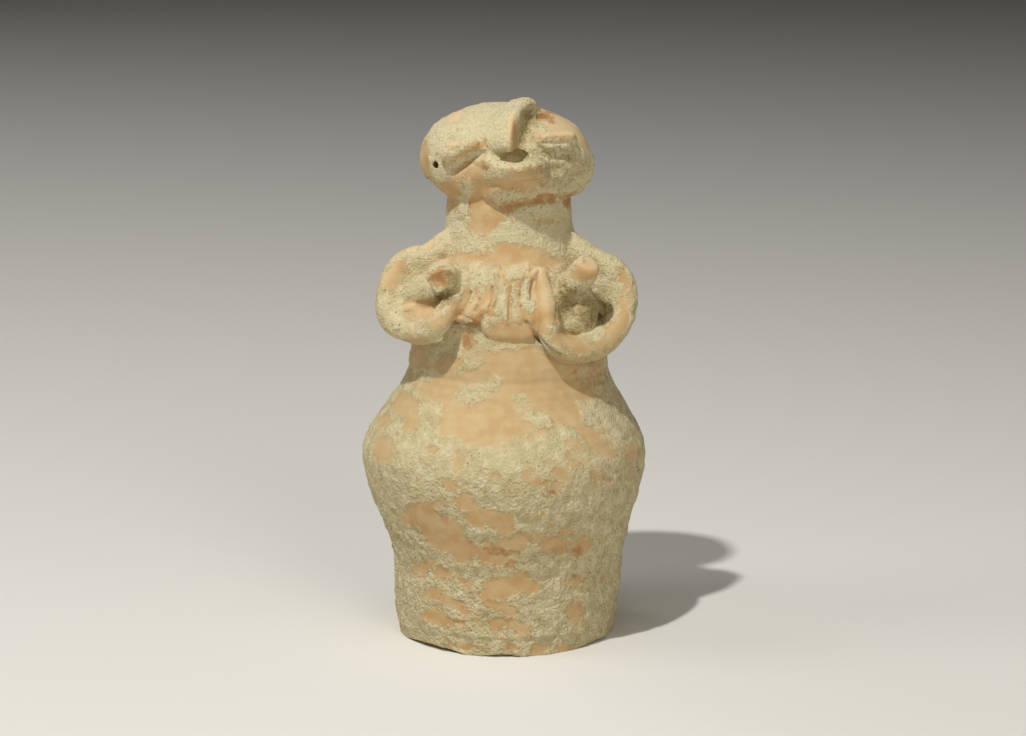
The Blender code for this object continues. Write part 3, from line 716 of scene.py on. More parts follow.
@dataclass(frozen=True)
class Arm:
    """One arm: a roll looped from the shoulder to the hand, a web in the loop, and the hand."""

    body: ThrownBody
    name: str
    side: float
    # The loop: its top, how far the shoulder's root lies above that, its half height and half
    # width, how far its top leans in towards the neck, and how square it is
    shoulder: float
    slope: float
    drop: float
    half_width: float
    lean: float
    squareness: float
    # Degrees round the body from the front, towards the arm's own side
    wrist_bearing: float
    finger_bearings: tuple[float, ...]
    # The forefinger's radius, and how much the fingers gather at the wrist
    forefinger: float
    fan: float
    # How far forward the web's middle lies
    web_front: float
    # Degrees round the loop at which the roll leaves it, and its stops from there to the
    # forefinger: across, forward and up
    loop_end: float
    forearm: tuple[Triple, ...]
    # The share of the forefinger at which the roll meets it, and the bearing of its tip
    finger_start: float
    tip_bearing: float
    # How much of the web is left out at the lower corner, inside the wrist
    corner_cut: float
    # The corner's bearing round the loop and how far round it reaches, in degrees
    corner_degrees: float = 205.0
    corner_reach: float = 40.0
    radius: float = 4.7
    wrist_radius: float = 3.6
    forearm_radius: float = 3.9
    # How far out the loop's middle lies, and how far forward its elbow and its wrist
    loop_out: float = 26.2
    elbow_back: float = 9.0
    wrist_forward: float = 32.2
    web_back: float = 4.0
    # The bearing round the loop at which the web is most flush with the roll
    flush_turn: float = 48.0
    finger_radius: float = 1.9
    finger_length: float = 19.0
    palm_thickness: float = 2.6

    def loop(self, degrees: Values) -> Points:
        """The middle of the roll round its loop: a rounded rectangle that swings forward.

        Args:
            degrees: Degrees round the loop, 0 on top, 90 outside and 180 below.

        Returns:
            One row of coordinates for each.
        """
        angle = np.radians(degrees)
        out = signed_power(np.sin(angle), 1.0 - self.squareness)
        up = signed_power(np.cos(angle), 1.0 - self.squareness)
        across = self.side * (self.loop_out + self.half_width * out - self.lean * up)
        swing = np.where(degrees < 250.0, (degrees - 50.0) / 200.0, (360.0 - degrees) / 110.0)
        forward = mix(self.elbow_back, self.wrist_forward, ease(swing))
        height = self.shoulder - self.drop + self.drop * up
        return np.stack([self.body.neck_sway + across, -forward, height], axis=-1)

    def hand_foot(self) -> float:
        """The height of the hand's lower edge."""
        return self.body.chest + self.palm_thickness

    def looped_roll(self) -> Lump:
        """The roll from the neck over the shoulder, round the loop and up the forefinger.

        Returns:
            The closed lump, a smooth curve through stops on each stretch that thins to the tip.
        """
        start = self.body.on_skin(self.side * 70.0, -self.radius, self.shoulder + self.slope)
        degrees = np.arange(10.0, self.loop_end + 1.0, 10.0)
        thinned = ease((degrees - self.loop_end + 50.0) / 60.0)
        loop_radii = mix(self.radius, self.wrist_radius, thinned)
        share = mix(self.finger_start, 1.0, np.array([0.0, 0.35, 0.7, 0.92, 1.0]))
        finger = self.body.on_skin(
            self.side * mix(self.wrist_bearing, self.tip_bearing, share),
            mix(self.wrist_radius * 0.85, self.forefinger * 0.2, share),
            self.hand_foot() + self.finger_length * mix(0.15, 0.92, share),
        )
        radii = mix(self.wrist_radius, self.forefinger, ease(share))
        radii[-1] = self.forefinger * 0.5
        forearm = np.array(self.forearm).reshape(-1, 3) * np.array([self.side, -1.0, 1.0])
        stops = np.concatenate([start[None, :], self.loop(degrees), forearm, finger])
        slim = np.full(len(forearm), self.forearm_radius)
        widths = np.concatenate([[self.radius * 1.1], loop_radii, slim, radii])
        rows = smooth_path(np.concatenate([stops, widths[:, None]], axis=1), 4)
        return roll(f"{self.name} arm", rows[:, :3], rows[:, 3])

    def web(self) -> Lump:
        """The plate in the loop: rings that close on its middle, in front and then behind.

        Returns:
            The closed lump. The front is flush with the roll above and outside, and sinks at once
            behind the wrist. The back sinks evenly.
        """
        degrees = np.arange(0.0, 360.0, 5.0)
        rim = self.loop(degrees)
        aside = (degrees - self.corner_degrees) / self.corner_reach
        rim = mix(rim, rim.mean(axis=0), self.corner_cut * np.exp(-(aside**2))[:, None])
        flush = ease((np.cos(np.radians(degrees - self.flush_turn)) + 0.25) / 0.8)
        middle = rim.mean(axis=0)
        shares = np.array([0.8, 0.7, 0.6, 0.5, 0.4, 0.32, 0.25, 0.17, 0.1, 0.05])[:, None]
        flat = rim[None, :, :] + (middle - rim)[None, :, :] * shares[:, :, None]
        sunk = mix(1.0 - (1.0 - shares) ** 3, ease((shares - 0.38) / 0.4), flush[None, :])
        edge = -rim[None, :, 1]
        front = mix(edge + self.radius * 0.95 * flush[None, :], self.web_front, sunk)
        back = mix(edge - self.radius * 0.9, self.web_back, ease(shares))
        before = np.stack([flat[..., 0], -front, flat[..., 2]], axis=-1)
        behind = np.stack([flat[..., 0], -back, flat[..., 2]], axis=-1)[::-1]
        return lump_of_rings(f"{self.name} web", np.concatenate([before, rim[None], behind]))

    def hand(self) -> list[Lump]:
        """The hand laid on the chest.

        Returns:
            The flat palm, then each finger as a tapered roll that fans out from the wrist.
        """
        first, last = self.finger_bearings[0], self.finger_bearings[-1]
        middle = self.side * (first + last) / 2
        spread = math.radians(first - last) / 2 * self.body.chest_radius + self.finger_radius
        centre = self.body.on_skin(middle, 0.0, self.hand_foot() + self.finger_length * 0.45)
        axes = (spread, self.palm_thickness, self.finger_length * 0.46)
        made = [ball(f"{self.name} palm", centre, axes, (-12.0, 0.0, middle), 0.2)]
        outline = np.array(
            [(0.0, 0.55), (0.07, 0.95), (0.4, 1.05), (0.7, 1.0), (0.93, 0.85), (1.0, 0.45)]
        )
        share = np.linspace(0.0, 1.0, 20)
        taper = np.interp(share, outline[:, 0], outline[:, 1])
        for number, bearing in enumerate(self.finger_bearings):
            length = self.finger_length * (1.0 - 0.05 * number)
            stand_off = self.palm_thickness * mix(0.8, -0.1, share**1.5)
            height = self.hand_foot() + length * share
            gathered = self.fan * (1.0 - ease(share / 0.45))
            way = self.side * mix(bearing, self.wrist_bearing, gathered)
            path = self.body.on_skin(way, stand_off, height)
            made.append(roll(f"{self.name} finger", path, self.finger_radius * taper))
        return made

    def lumps(self) -> list[Lump]:
        """Every lump of clay of the arm and hand."""
        return [self.looped_roll(), self.web()] + self.hand()


@dataclass(frozen=True)
class Breast:
    """A cone of clay on a low mound in an arm's loop."""

    body: ThrownBody
    name: str
    side: float
    root: Triple
    aim: Triple
    length: float
    mound_share: float
    swell: tuple[float, ...]
    base_radius: float = 6.0
    tip_radius: float = 4.2

    def lumps(self) -> list[Lump]:
        """The cone and the mound at its root.

        Returns:
            The cone, a roll whose radius swells from tip to base, and a low oval under it.
        """
        across, forward, height = self.root
        start = np.array([self.body.neck_sway + self.side * across, -forward, height])
        ahead = np.array([self.side * self.aim[0], -self.aim[1], self.aim[2]])
        ahead /= np.linalg.norm(ahead)
        share = np.linspace(0.0, 1.0, 24)
        swell = np.interp(share, (0.0, 0.3, 0.6, 0.85, 0.96, 1.0), self.swell)
        path = start + ahead * (self.length * share)[:, None]
        cone = roll(self.name, path, mix(self.tip_radius, self.base_radius, swell), (0.0, 0.0, 1.0))
        size = self.base_radius * self.mound_share
        seat = start + np.array([self.side * 0.35, 0.15, -0.7]) * size
        axes = (1.3 * size, size, 1.6 * size)
        return [cone, ball(f"{self.name} mound", seat, axes, (0.0, 0.0, -self.side * 35.0))]


@dataclass(frozen=True)
class Mark:
    """A groove or a pit pressed into the clay, placed in the picture."""

    places: tuple[Pair, ...]
    half_width: float
    depth: float


GROOVES = (
    # Between the fingers of the right hand
    Mark(((-15.3, 26.6), (-16.9, 22.8), (-18.7, 18.4)), 0.6, 1.6),
    Mark(((-12.0, 24.4), (-12.6, 22.0), (-13.3, 20.0)), 0.5, 1.1),
    Mark(((-7.2, 28.4), (-7.4, 25.0), (-8.0, 21.4)), 0.5, 1.1),
    Mark(((-5.2, 23.8), (-6.6, 20.8)), 0.5, 0.9),
    Mark(((-19.5, 19.0), (-14.5, 16.8), (-13.4, 15.0)), 0.5, 0.6),
    # Between the fingers of the left hand
    Mark(((8.2, 34.2), (7.2, 30.0), (6.3, 24.0)), 0.6, 1.7),
    Mark(((3.8, 31.2), (3.2, 28.0), (2.9, 24.6)), 0.55, 1.0),
    Mark(((-0.2, 30.6), (-0.8, 24.0), (-1.0, 17.0)), 0.6, 0.7),
    # The crack along the left wrist, and the edge under the left hand
    Mark(((4.6, 16.2), (6.4, 13.2), (9.0, 10.2), (13.5, 6.2), (16.0, 4.8)), 0.6, 1.2),
    # Over and under the left eye
    Mark(((10.5, 79.3), (14.0, 79.0), (19.5, 79.4)), 0.55, 0.7),
    Mark(((10.3, 75.9), (13.5, 75.7), (16.0, 77.2)), 0.5, 0.6),
    # Where the lip is pressed on, at its right end
    Mark(((-17.5, 71.8), (-15.5, 72.3), (-10.3, 69.9)), 0.4, 0.4),
    # A crack in the neck's crust
    Mark(((-20.2, 52.0), (-17.8, 51.8), (-16.8, 53.5), (-15.2, 53.2), (-15.3, 58.0)), 0.35, 0.6),
    # The ledge of the foot band
    Mark(((-33.0, -92.3), (-20.0, -94.8), (0.0, -95.8), (20.0, -94.6), (33.0, -91.0)), 1.0, 0.35),
)

HOLLOWS = (
    # The steep side of the nose, the mouth's floor, and the underside of the jaw and cheek
    Mark(((7.6, 89.5), (6.0, 84.5), (5.0, 80.0)), 2.7, 2.2),
    Mark(((-3.0, 75.6), (3.5, 74.6)), 1.8, 0.4),
    Mark(((-8.0, 63.2), (0.0, 62.6), (9.0, 63.4)), 3.4, 3.2),
    Mark(((12.0, 62.6), (18.0, 63.6), (22.0, 66.0)), 3.0, 3.0),
    Mark(((14.0, 70.0), (19.0, 68.0)), 3.2, 1.2),
    # Under and inside the end of each eye
    Mark(((-20.6, 69.4), (-17.2, 71.2), (-14.2, 74.0), (-10.8, 75.6)), 1.3, 2.1),
    Mark(((11.0, 74.0), (16.0, 73.6), (21.0, 75.0)), 1.6, 1.0),
    # The pockets between the breasts and the forearms
    Mark(((-36.5, 24.0), (-31.0, 21.4), (-26.5, 22.6), (-22.8, 26.0)), 1.8, 1.9),
    Mark(((17.5, 18.5), (20.5, 21.5), (23.5, 23.5)), 2.6, 1.5),
    Mark(((30.5, 19.0), (33.0, 23.0)), 2.8, 2.0),
)

RIDGES = (
    # The lip's rim, the brow over the left eye, and the ledge under the broken breast
    Mark(((-9.5, 71.8), (-5.0, 70.4), (1.0, 69.7), (6.0, 70.2), (9.5, 72.0)), 2.1, 1.3),
    Mark(((10.5, 81.0), (15.0, 81.9), (20.5, 81.6)), 1.2, 0.7),
    Mark(((11.5, 77.3), (15.5, 76.8), (20.0, 77.3)), 1.0, 0.6),
    # The rolled edge of the foot band
    Mark(((-37.0, -90.5), (-25.0, -93.6), (0.0, -94.9), (25.0, -93.4), (37.0, -89.5)), 1.1, 0.4),
)

# Across, up, half width and depth of each
PITS = (
    Mark(((-20.2, 83.0), (-19.8, 83.2)), 0.5, 0.6),
    Mark(((5.8, 91.6), (7.2, 90.4)), 0.7, 0.9),
    *(
        Mark(((across, up),), half_width, depth)
        for across, up, half_width, depth in (
            (4.6, 90.2, 0.6, 0.8), (9.8, 69.7, 0.55, 0.9), (0.2, 60.7, 0.5, 0.9),
            (23.8, 63.0, 0.5, 0.8), (21.0, 78.5, 0.55, 1.0), (12.3, 75.8, 0.5, 0.7),
            (-21.5, 76.7, 0.8, 0.5), (3.0, 25.8, 0.75, 1.2), (6.2, 24.5, 0.65, 1.2),
            (3.0, 21.5, 0.5, 0.9), (6.5, 21.0, 0.5, 0.9), (-0.4, 30.3, 0.5, 0.8),
            (17.8, 28.5, 0.6, 1.0), (21.5, 26.3, 0.6, 1.0), (30.4, 22.6, 1.1, 1.8),
            (28.9, 17.3, 1.0, 1.6), (15.9, 20.3, 0.6, 1.0), (25.0, 11.2, 0.5, 0.6),
            (-18.4, 20.4, 0.45, 0.8), (22.0, -73.0, 0.8, 0.8), (31.0, -91.5, 0.7, 0.7),
            (-17.6, 60.8, 0.5, 0.6),
        )
    ),
)


class Layer(Enum):
    """What a patch of the surface shows."""

    BARE = "bare fired clay"
    CRUST = "an island of burial crust"
    RED = "fresher red clay"
    # Dark earth, also laid as painted shade in the pockets under the breasts, on the nose's steep
    # side, on the left cheek and beside the nose's tip
    EARTH_AND_SHADE = "dark earth left in a hollow"


@dataclass(frozen=True)
class Patch:
    """A patch of the surface as an ellipse in the picture, in millimetres."""

    layer: Layer
    across: float
    up: float
    half_width: float
    half_height: float
    tilt: float = 0.0
    limit: float = 99.0

    def depth(self, places: Points) -> Values:
        """How far inside the ellipse each place is, below 0 outside it.

        Args:
            places: Two columns, across and up.

        Returns:
            The share of the way in from the edge, times the ellipse's smaller half size, and at
            most the patch's limit, which keeps a thin layer thin.
        """
        angle = math.radians(self.tilt)
        x, y = places[:, 0] - self.across, places[:, 1] - self.up
        along = x * math.cos(angle) + y * math.sin(angle)
        over = y * math.cos(angle) - x * math.sin(angle)
        reach = np.hypot(along / self.half_width, over / self.half_height)
        return np.minimum((1.0 - reach) * min(self.half_width, self.half_height), self.limit)


def patches(layer: Layer, *sizes: tuple[float, ...]) -> list[Patch]:
    """Patches of one layer, from across, up, half width, half height, tilt and limit."""
    return [Patch(layer, *size) for size in sizes]


bare, crust, red, earth_and_shade = (partial(patches, layer) for layer in Layer)

HEAD_PATCHES = (
    # Crown and right side: thin places on the curve, the ear's rim, the eye's upper side
    bare((-20.5, 88.3, 2.8, 1.8, 25), (-12.6, 79.0, 2.0, 1.5, -10), (-20.9, 78.3, 1.5, 0.8, 25))
    + bare((-16.6, 76.3, 2.2, 0.3, 35), (-31.3, 73, 1.2, 5), (-29.0, 65.5, 2.2, 1.5, -30))
    + bare((-24, 62.5, 2.0, 1.5, -30), (-0.2, 83.5, 1.4, 5.2))
    # Forehead, left side
    + bare((17.5, 85.8, 8.5, 3.6, -24), (24.5, 81, 4, 2.6, -45), (9.0, 81.5, 1.2, 1.6))
    + bare((16.5, 81, 3, 0.7))
    # Cheek, neck and jaw
    + bare((-14, 69.0, 5, 3.6), (-19, 68.0, 2.4, 1.6), (-21.5, 61.0, 2.2, 4.8))
    + bare((-19.5, 56.5, 2.4, 2.4), (-12, 62, 3.5, 5), (-10.5, 56.0, 5.4, 4.5), (-11, 50.8, 4, 2.8))
    + bare((-5.5, 53.5, 3, 2.5), (-15.5, 65, 3, 3))
    + crust((-17.0, 59.5, 1.6, 6.8, -8), (-18, 53.5, 2.6, 1.5, 20))
    + bare((-0.5, 64.0, 7.5, 3.4), (4, 66.3, 5, 2.2), (9.5, 67.0, 2.2, 1.0))
    + crust((-4.5, 60.2, 3.2, 1.6), (3, 60.9, 6, 1.4, 8))
    + bare((5, 69.0, 4, 0.6, 8), (11.5, 51.8, 1.8, 0.7))
    + red((0.5, 56.9, 5, 1.5, 12), (7.5, 58.6, 5, 1.3, 12), (13, 59.8, 4.5, 0.9, 8))
    + red((20.0, 59.0, 1.6, 2.2), (12.1, 89, 2.6, 2.2))
    # Painted shade, laid as dark earth: on the nose's steep side, on the left cheek and beside the
    # nose's tip
    + earth_and_shade((6.0, 88.0, 2.2, 3.4, 60), (3.8, 83.0, 1.6, 3.4))
    + earth_and_shade((15.0, 70.5, 9.5, 6.5, 0, -0.45), (5.5, 79.5, 4.0, 4.0, 0, -0.45))
)

CHEST_PATCHES = (
    # Right shoulder and web, and the band across the chest
    bare((-34, 42.8, 5.5, 1.2, 12), (-42, 32.5, 2.8, 5.2, -25), (-3, 38, 18, 2.8))
    + bare((-3, 41.8, 4, 1.6), (4, 41, 5, 1.2), (-3.5, 33, 2.6, 3.5), (-5, 28, 1.6, 2))
    # Right hand, wrist and the dish behind it
    + crust((-13, 35.8, 6.5, 1.2, -6), (-17.5, 31.0, 3.6, 3.4, 30), (-11.5, 30.0, 4.4, 2.2, -10))
    + bare((-17.0, 21.5, 1.3, 4.6, -28), (-13.6, 21.8, 1.1, 4.0, -18), (-10.5, 21, 1.6, 4.2, -8))
    + bare((-8.2, 23.5, 1.6, 4.8), (-24, 17, 6.5, 1.8, 18), (-21, 20.5, 3.6, 1.2, 32))
    + bare((-32, 20.5, 5, 2.4, -8), (-36, 22.5, 2, 1.2), (-26, 32.2, 3.4, 3.0, -10))
    + red((-13.5, 16.8, 2.6, 1.2, 30), (-15.5, 10.5, 1.9, 3.6, 5))
    # Painted shade, laid as dark earth, in the pocket under the broken right breast
    + earth_and_shade((-23.8, 24.5, 3.4, 2.4, 25), (-21.6, 31.0, 1.4, 3.4))
    + red((-26.0, 31.8, 3.0, 2.0, -10))
    + bare((-33, 3, 3, 6))
    + crust((-24, 6.5, 6, 4.5))
    # Between the hands
    + bare((1, 12.5, 9, 3.2), (0.5, 17.5, 5, 2.4), (-2.2, 25, 1.0, 6.5), (1.8, 27, 0.8, 5))
    + crust((-4.2, 24, 1.3, 5.5), (0.5, 33, 2.4, 1.4), (0.2, 22, 0.8, 4.0))
    # Left hand, wrist, forearm and knob
    + bare((10.2, 26.5, 2.8, 9.5, 4), (11.5, 15.5, 5.5, 3.6, -35), (6.2, 33.0, 1.2, 1.6))
    + crust((14.0, 14.4, 2.0, 1.1, 40))
    + bare((20, 9.0, 7, 2.2, -22), (29, 7.4, 5, 1.6, 12), (36, 13, 2.4, 6.5, -28))
    + bare((39.2, 20, 1.6, 5, -8), (39.5, 30, 1.4, 4.5, 5), (25.6, 34.4, 4.8, 3.2, 42))
    + bare((22.5, 33.0, 3.0, 2, 45))
    # Painted shade, laid as dark earth, on the mound and in the pocket under the left breast
    + earth_and_shade((18.5, 22.5, 3.4, 5.6, -25), (27.0, 21.0, 4.0, 5.5), (31.5, 20.0, 3.2, 4.2, -20))
)

BELLY_PATCHES = (
    # Waist, right to left
    bare((-34, 2, 3, 7), (-27, -1, 7, 2.5), (-20, 2, 4, 2))
    + crust((-31, -3, 5, 3))
    # Red clay under the left arm, laid darker also as painted shade that the arm casts
    + red((25.5, -1.5, 5.5, 4.0, -35, -0.4))
    # The large worn belly
    + bare((0, 1.5, 15, 5.0), (-6, -14, 23, 13.0), (19, -13, 9, 6.5, -30), (26, -22, 6, 3.0, -35))
    + bare((-24, -7, 9, 4, 12), (16, -2, 7, 6), (24, -8, 5, 2.5), (29, -1, 2.5, 5))
    + crust((-12.8, -8.4, 6.3, 2.8, 12), (-7.5, -6.2, 2.6, 1.6, 40), (-14.5, 1.5, 4, 2.2, 30))
    + crust((-30, -16, 4.6, 4.2), (2.5, -11.5, 1.8, 1.8), (9, -18.2, 4.4, 2.6, -15))
    + crust((4.6, -15.6, 1.8, 1.0, -20), (33.5, -17, 9, 6.5, -20), (26.5, -14.2, 4, 1.5, -30))
    + crust((10.5, -30.5, 14, 6.8), (2, -28.0, 4, 2.4, 35), (-24, -26, 3.0, 2.0))
    # The right side of the belly
    + bare((-38, -13, 4.4, 3.6), (-36, -19, 2.6, 2.8), (-45.2, -28.4, 3.5, 4), (-45, -19, 1.8, 2))
    # Flecks on the turn of the hips
    + bare((23, -27.5, 2.2, 1.2, -30), (27.5, -27.5, 1.6, 1.6), (33, -29, 3.4, 2.2))
    + bare((42, -30, 2, 3))
    + bare((23, -33, 2, 1.2), (21, -31, 1.0, 0.8), (17, -37.5, 3.2, 2.0, -30), (14, -41, 2.6, 1.2))
    + bare((29, -38, 1.6, 1.2, -30), (5, -38, 1.8, 1.6, -40), (8, -40, 2.2, 1.0, -30))
    + bare((-6.8, -38.5, 1.4, 1), (-22.5, -41, 2, 1.6), (-20, -33, 0.9, 3), (-28, -28.5, 1.2, 0.8))
    + red((33, -38.8, 1.8, 0.9, -30), (13.5, -43.5, 2, 0.9))
)

FOOT_PATCHES = (
    # The right side below the hips
    bare((-31.5, -52.8, 7, 4.0, -18), (-24.5, -58.5, 8, 5.4, -35), (-18, -63.5, 5.5, 3.8, -20))
    + bare((-27, -48.5, 1.8, 1.2), (-16.5, -47.5, 4.2, 2.8, -30), (-10, -52.6, 6, 2.8))
    + bare((-3.4, -55, 3.6, 4.0))
    # The middle
    + bare((1, -61.5, 4.2, 2.4, 22), (-4.5, -61.5, 3, 1.5), (-8, -66, 5, 3.0, -25))
    + crust((-9.5, -58.5, 4.0, 2.2, -10))
    + bare((14.5, -62, 5, 2.6, -10), (8.5, -59.8, 2, 1), (18.5, -57.5, 2, 0.9))
    + bare((24.2, -63, 3.6, 2.0, 35), (4.5, -75.4, 5, 2.8, -26), (-3, -77.4, 6.5, 2.6))
    + bare((-7.5, -79.5, 4, 1.6), (22.2, -75, 2.6, 1.4), (32.5, -74.5, 0.8, 1))
    + red((-5.5, -64.5, 3.2, 1.6, -20), (0.2, -69.5, 1.6, 1.0), (22.5, -64.2, 1.6, 1.4))
    # Streaks that run down to the foot
    + bare((-29.5, -68.5, 1.8, 1.0), (-32.5, -71, 2.4, 1.6, -40), (-24.5, -72, 3.0, 1.4, -35))
    + bare((-18, -74.5, 1.6, 0.7, -30), (-27.5, -79, 3.2, 1.8), (-20, -83, 6, 1.4, -30))
    + bare((-27.5, -87.5, 3.6, 2.2, -15), (-24, -89.5, 2.2, 1.2), (-19, -89, 1.2, 0.9))
    + bare((-4, -84.5, 4.2, 1.5, -25), (-6, -90, 2.6, 1.7), (2, -91.5, 4.4, 1.5, -20))
    # The left side and the rim
    + bare((22.5, -86.5, 1.8, 3.6), (20.5, -84.5, 1.6, 1.2), (0, -98.5, 1.6, 1.6))
    + bare((9, -98.5, 2.2, 1.5), (17.5, -99, 2.6, 1.1), (-17, -98.2, 4, 0.8))
)


@dataclass(frozen=True)
class Scatter:
    """Patches scattered by noise: how deep they get, their size, and the noise they start at."""

    strength: float
    size: float
    seed: int
    start: float
    octaves: int = 2

    def depth(self, points: Points) -> Values:
        """Millimetres into the patches at each place, below 0 outside them."""
        return self.strength * (noise(points, self.size, self.seed, self.octaves) - self.start)


@dataclass(frozen=True)
class Weathering:
    """Where the burial crust has worn off the clay, on the front as seen and elsewhere alike."""

    picture: Picture
    patches: tuple[Patch, ...] = (*HEAD_PATCHES, *CHEST_PATCHES, *BELLY_PATCHES, *FOOT_PATCHES)
    # The greatest depth that is told, how much every patch is widened, and how ragged it is
    most: float = 4.0
    reach: float = 0.45
    ragged: float = 1.2
    # Flecks of bare clay on the front, then what is scattered where the picture doesn't see
    flecks: Scatter = Scatter(5.0, 2.2, 21, 0.62)
    worn: Scatter = Scatter(9.0, 24.0, 31, 0.08, 4)
    worn_squash: Triple = (1.0, 1.0, 1.6)
    redder: Scatter = Scatter(4.0, 14.0, 41, 0.55)
    earthy: Scatter = Scatter(5.0, 12.0, 42, 0.5)

    def seen(self, points: Points) -> Points:
        """Places in the picture, strayed a little so that the edges of patches are ragged.

        Args:
            points: Places on the surface, in millimetres.

        Returns:
            Two columns, across and up, moved by a coarse and a fine noise.
        """
        places = self.picture.place(points)
        coarse = np.stack([noise(points, 5.5, seed, 2) for seed in (11, 12)], axis=1)
        fine = np.stack([noise(points, 2.0, seed, 2) for seed in (13, 14)], axis=1)
        return places + (coarse + fine) * self.ragged

    def bareness(self, points: Points, normals: Points) -> dict[Layer, Values]:
        """How deep inside each layer's patches every place lies, in millimetres, below 0 outside.

        Args:
            points: Places on the surface, in millimetres.
            normals: The surface's directions there.

        Returns:
            The depth into bare clay, which counts red clay too, into red clay and into earth, which
            also paints shade in hollows.
        """
        places = self.seen(points)
        seen = {
            layer: np.full(len(points), -self.most)
            for layer in (Layer.BARE, Layer.RED, Layer.EARTH_AND_SHADE)
        }
        for patch in self.patches:
            depth = patch.depth(places) + self.reach
            if patch.layer is Layer.CRUST:
                seen[Layer.BARE] = np.minimum(seen[Layer.BARE], -depth)
                continue
            layers = (Layer.BARE, Layer.RED) if patch.layer is Layer.RED else (patch.layer,)
            for layer in layers:
                seen[layer] = np.maximum(seen[layer], depth)
        seen[Layer.BARE] = np.maximum(seen[Layer.BARE], self.flecks.depth(points))
        unseen = {
            Layer.BARE: self.worn.depth(points * np.array(self.worn_squash)),
            Layer.RED: self.redder.depth(points),
            Layer.EARTH_AND_SHADE: self.earthy.depth(points),
        }
        share = ease((self.picture.facing(normals) + 0.02) / 0.22)
        return {
            layer: np.clip(mix(unseen[layer], seen[layer], share), -self.most, self.most)
            for layer in seen
        }


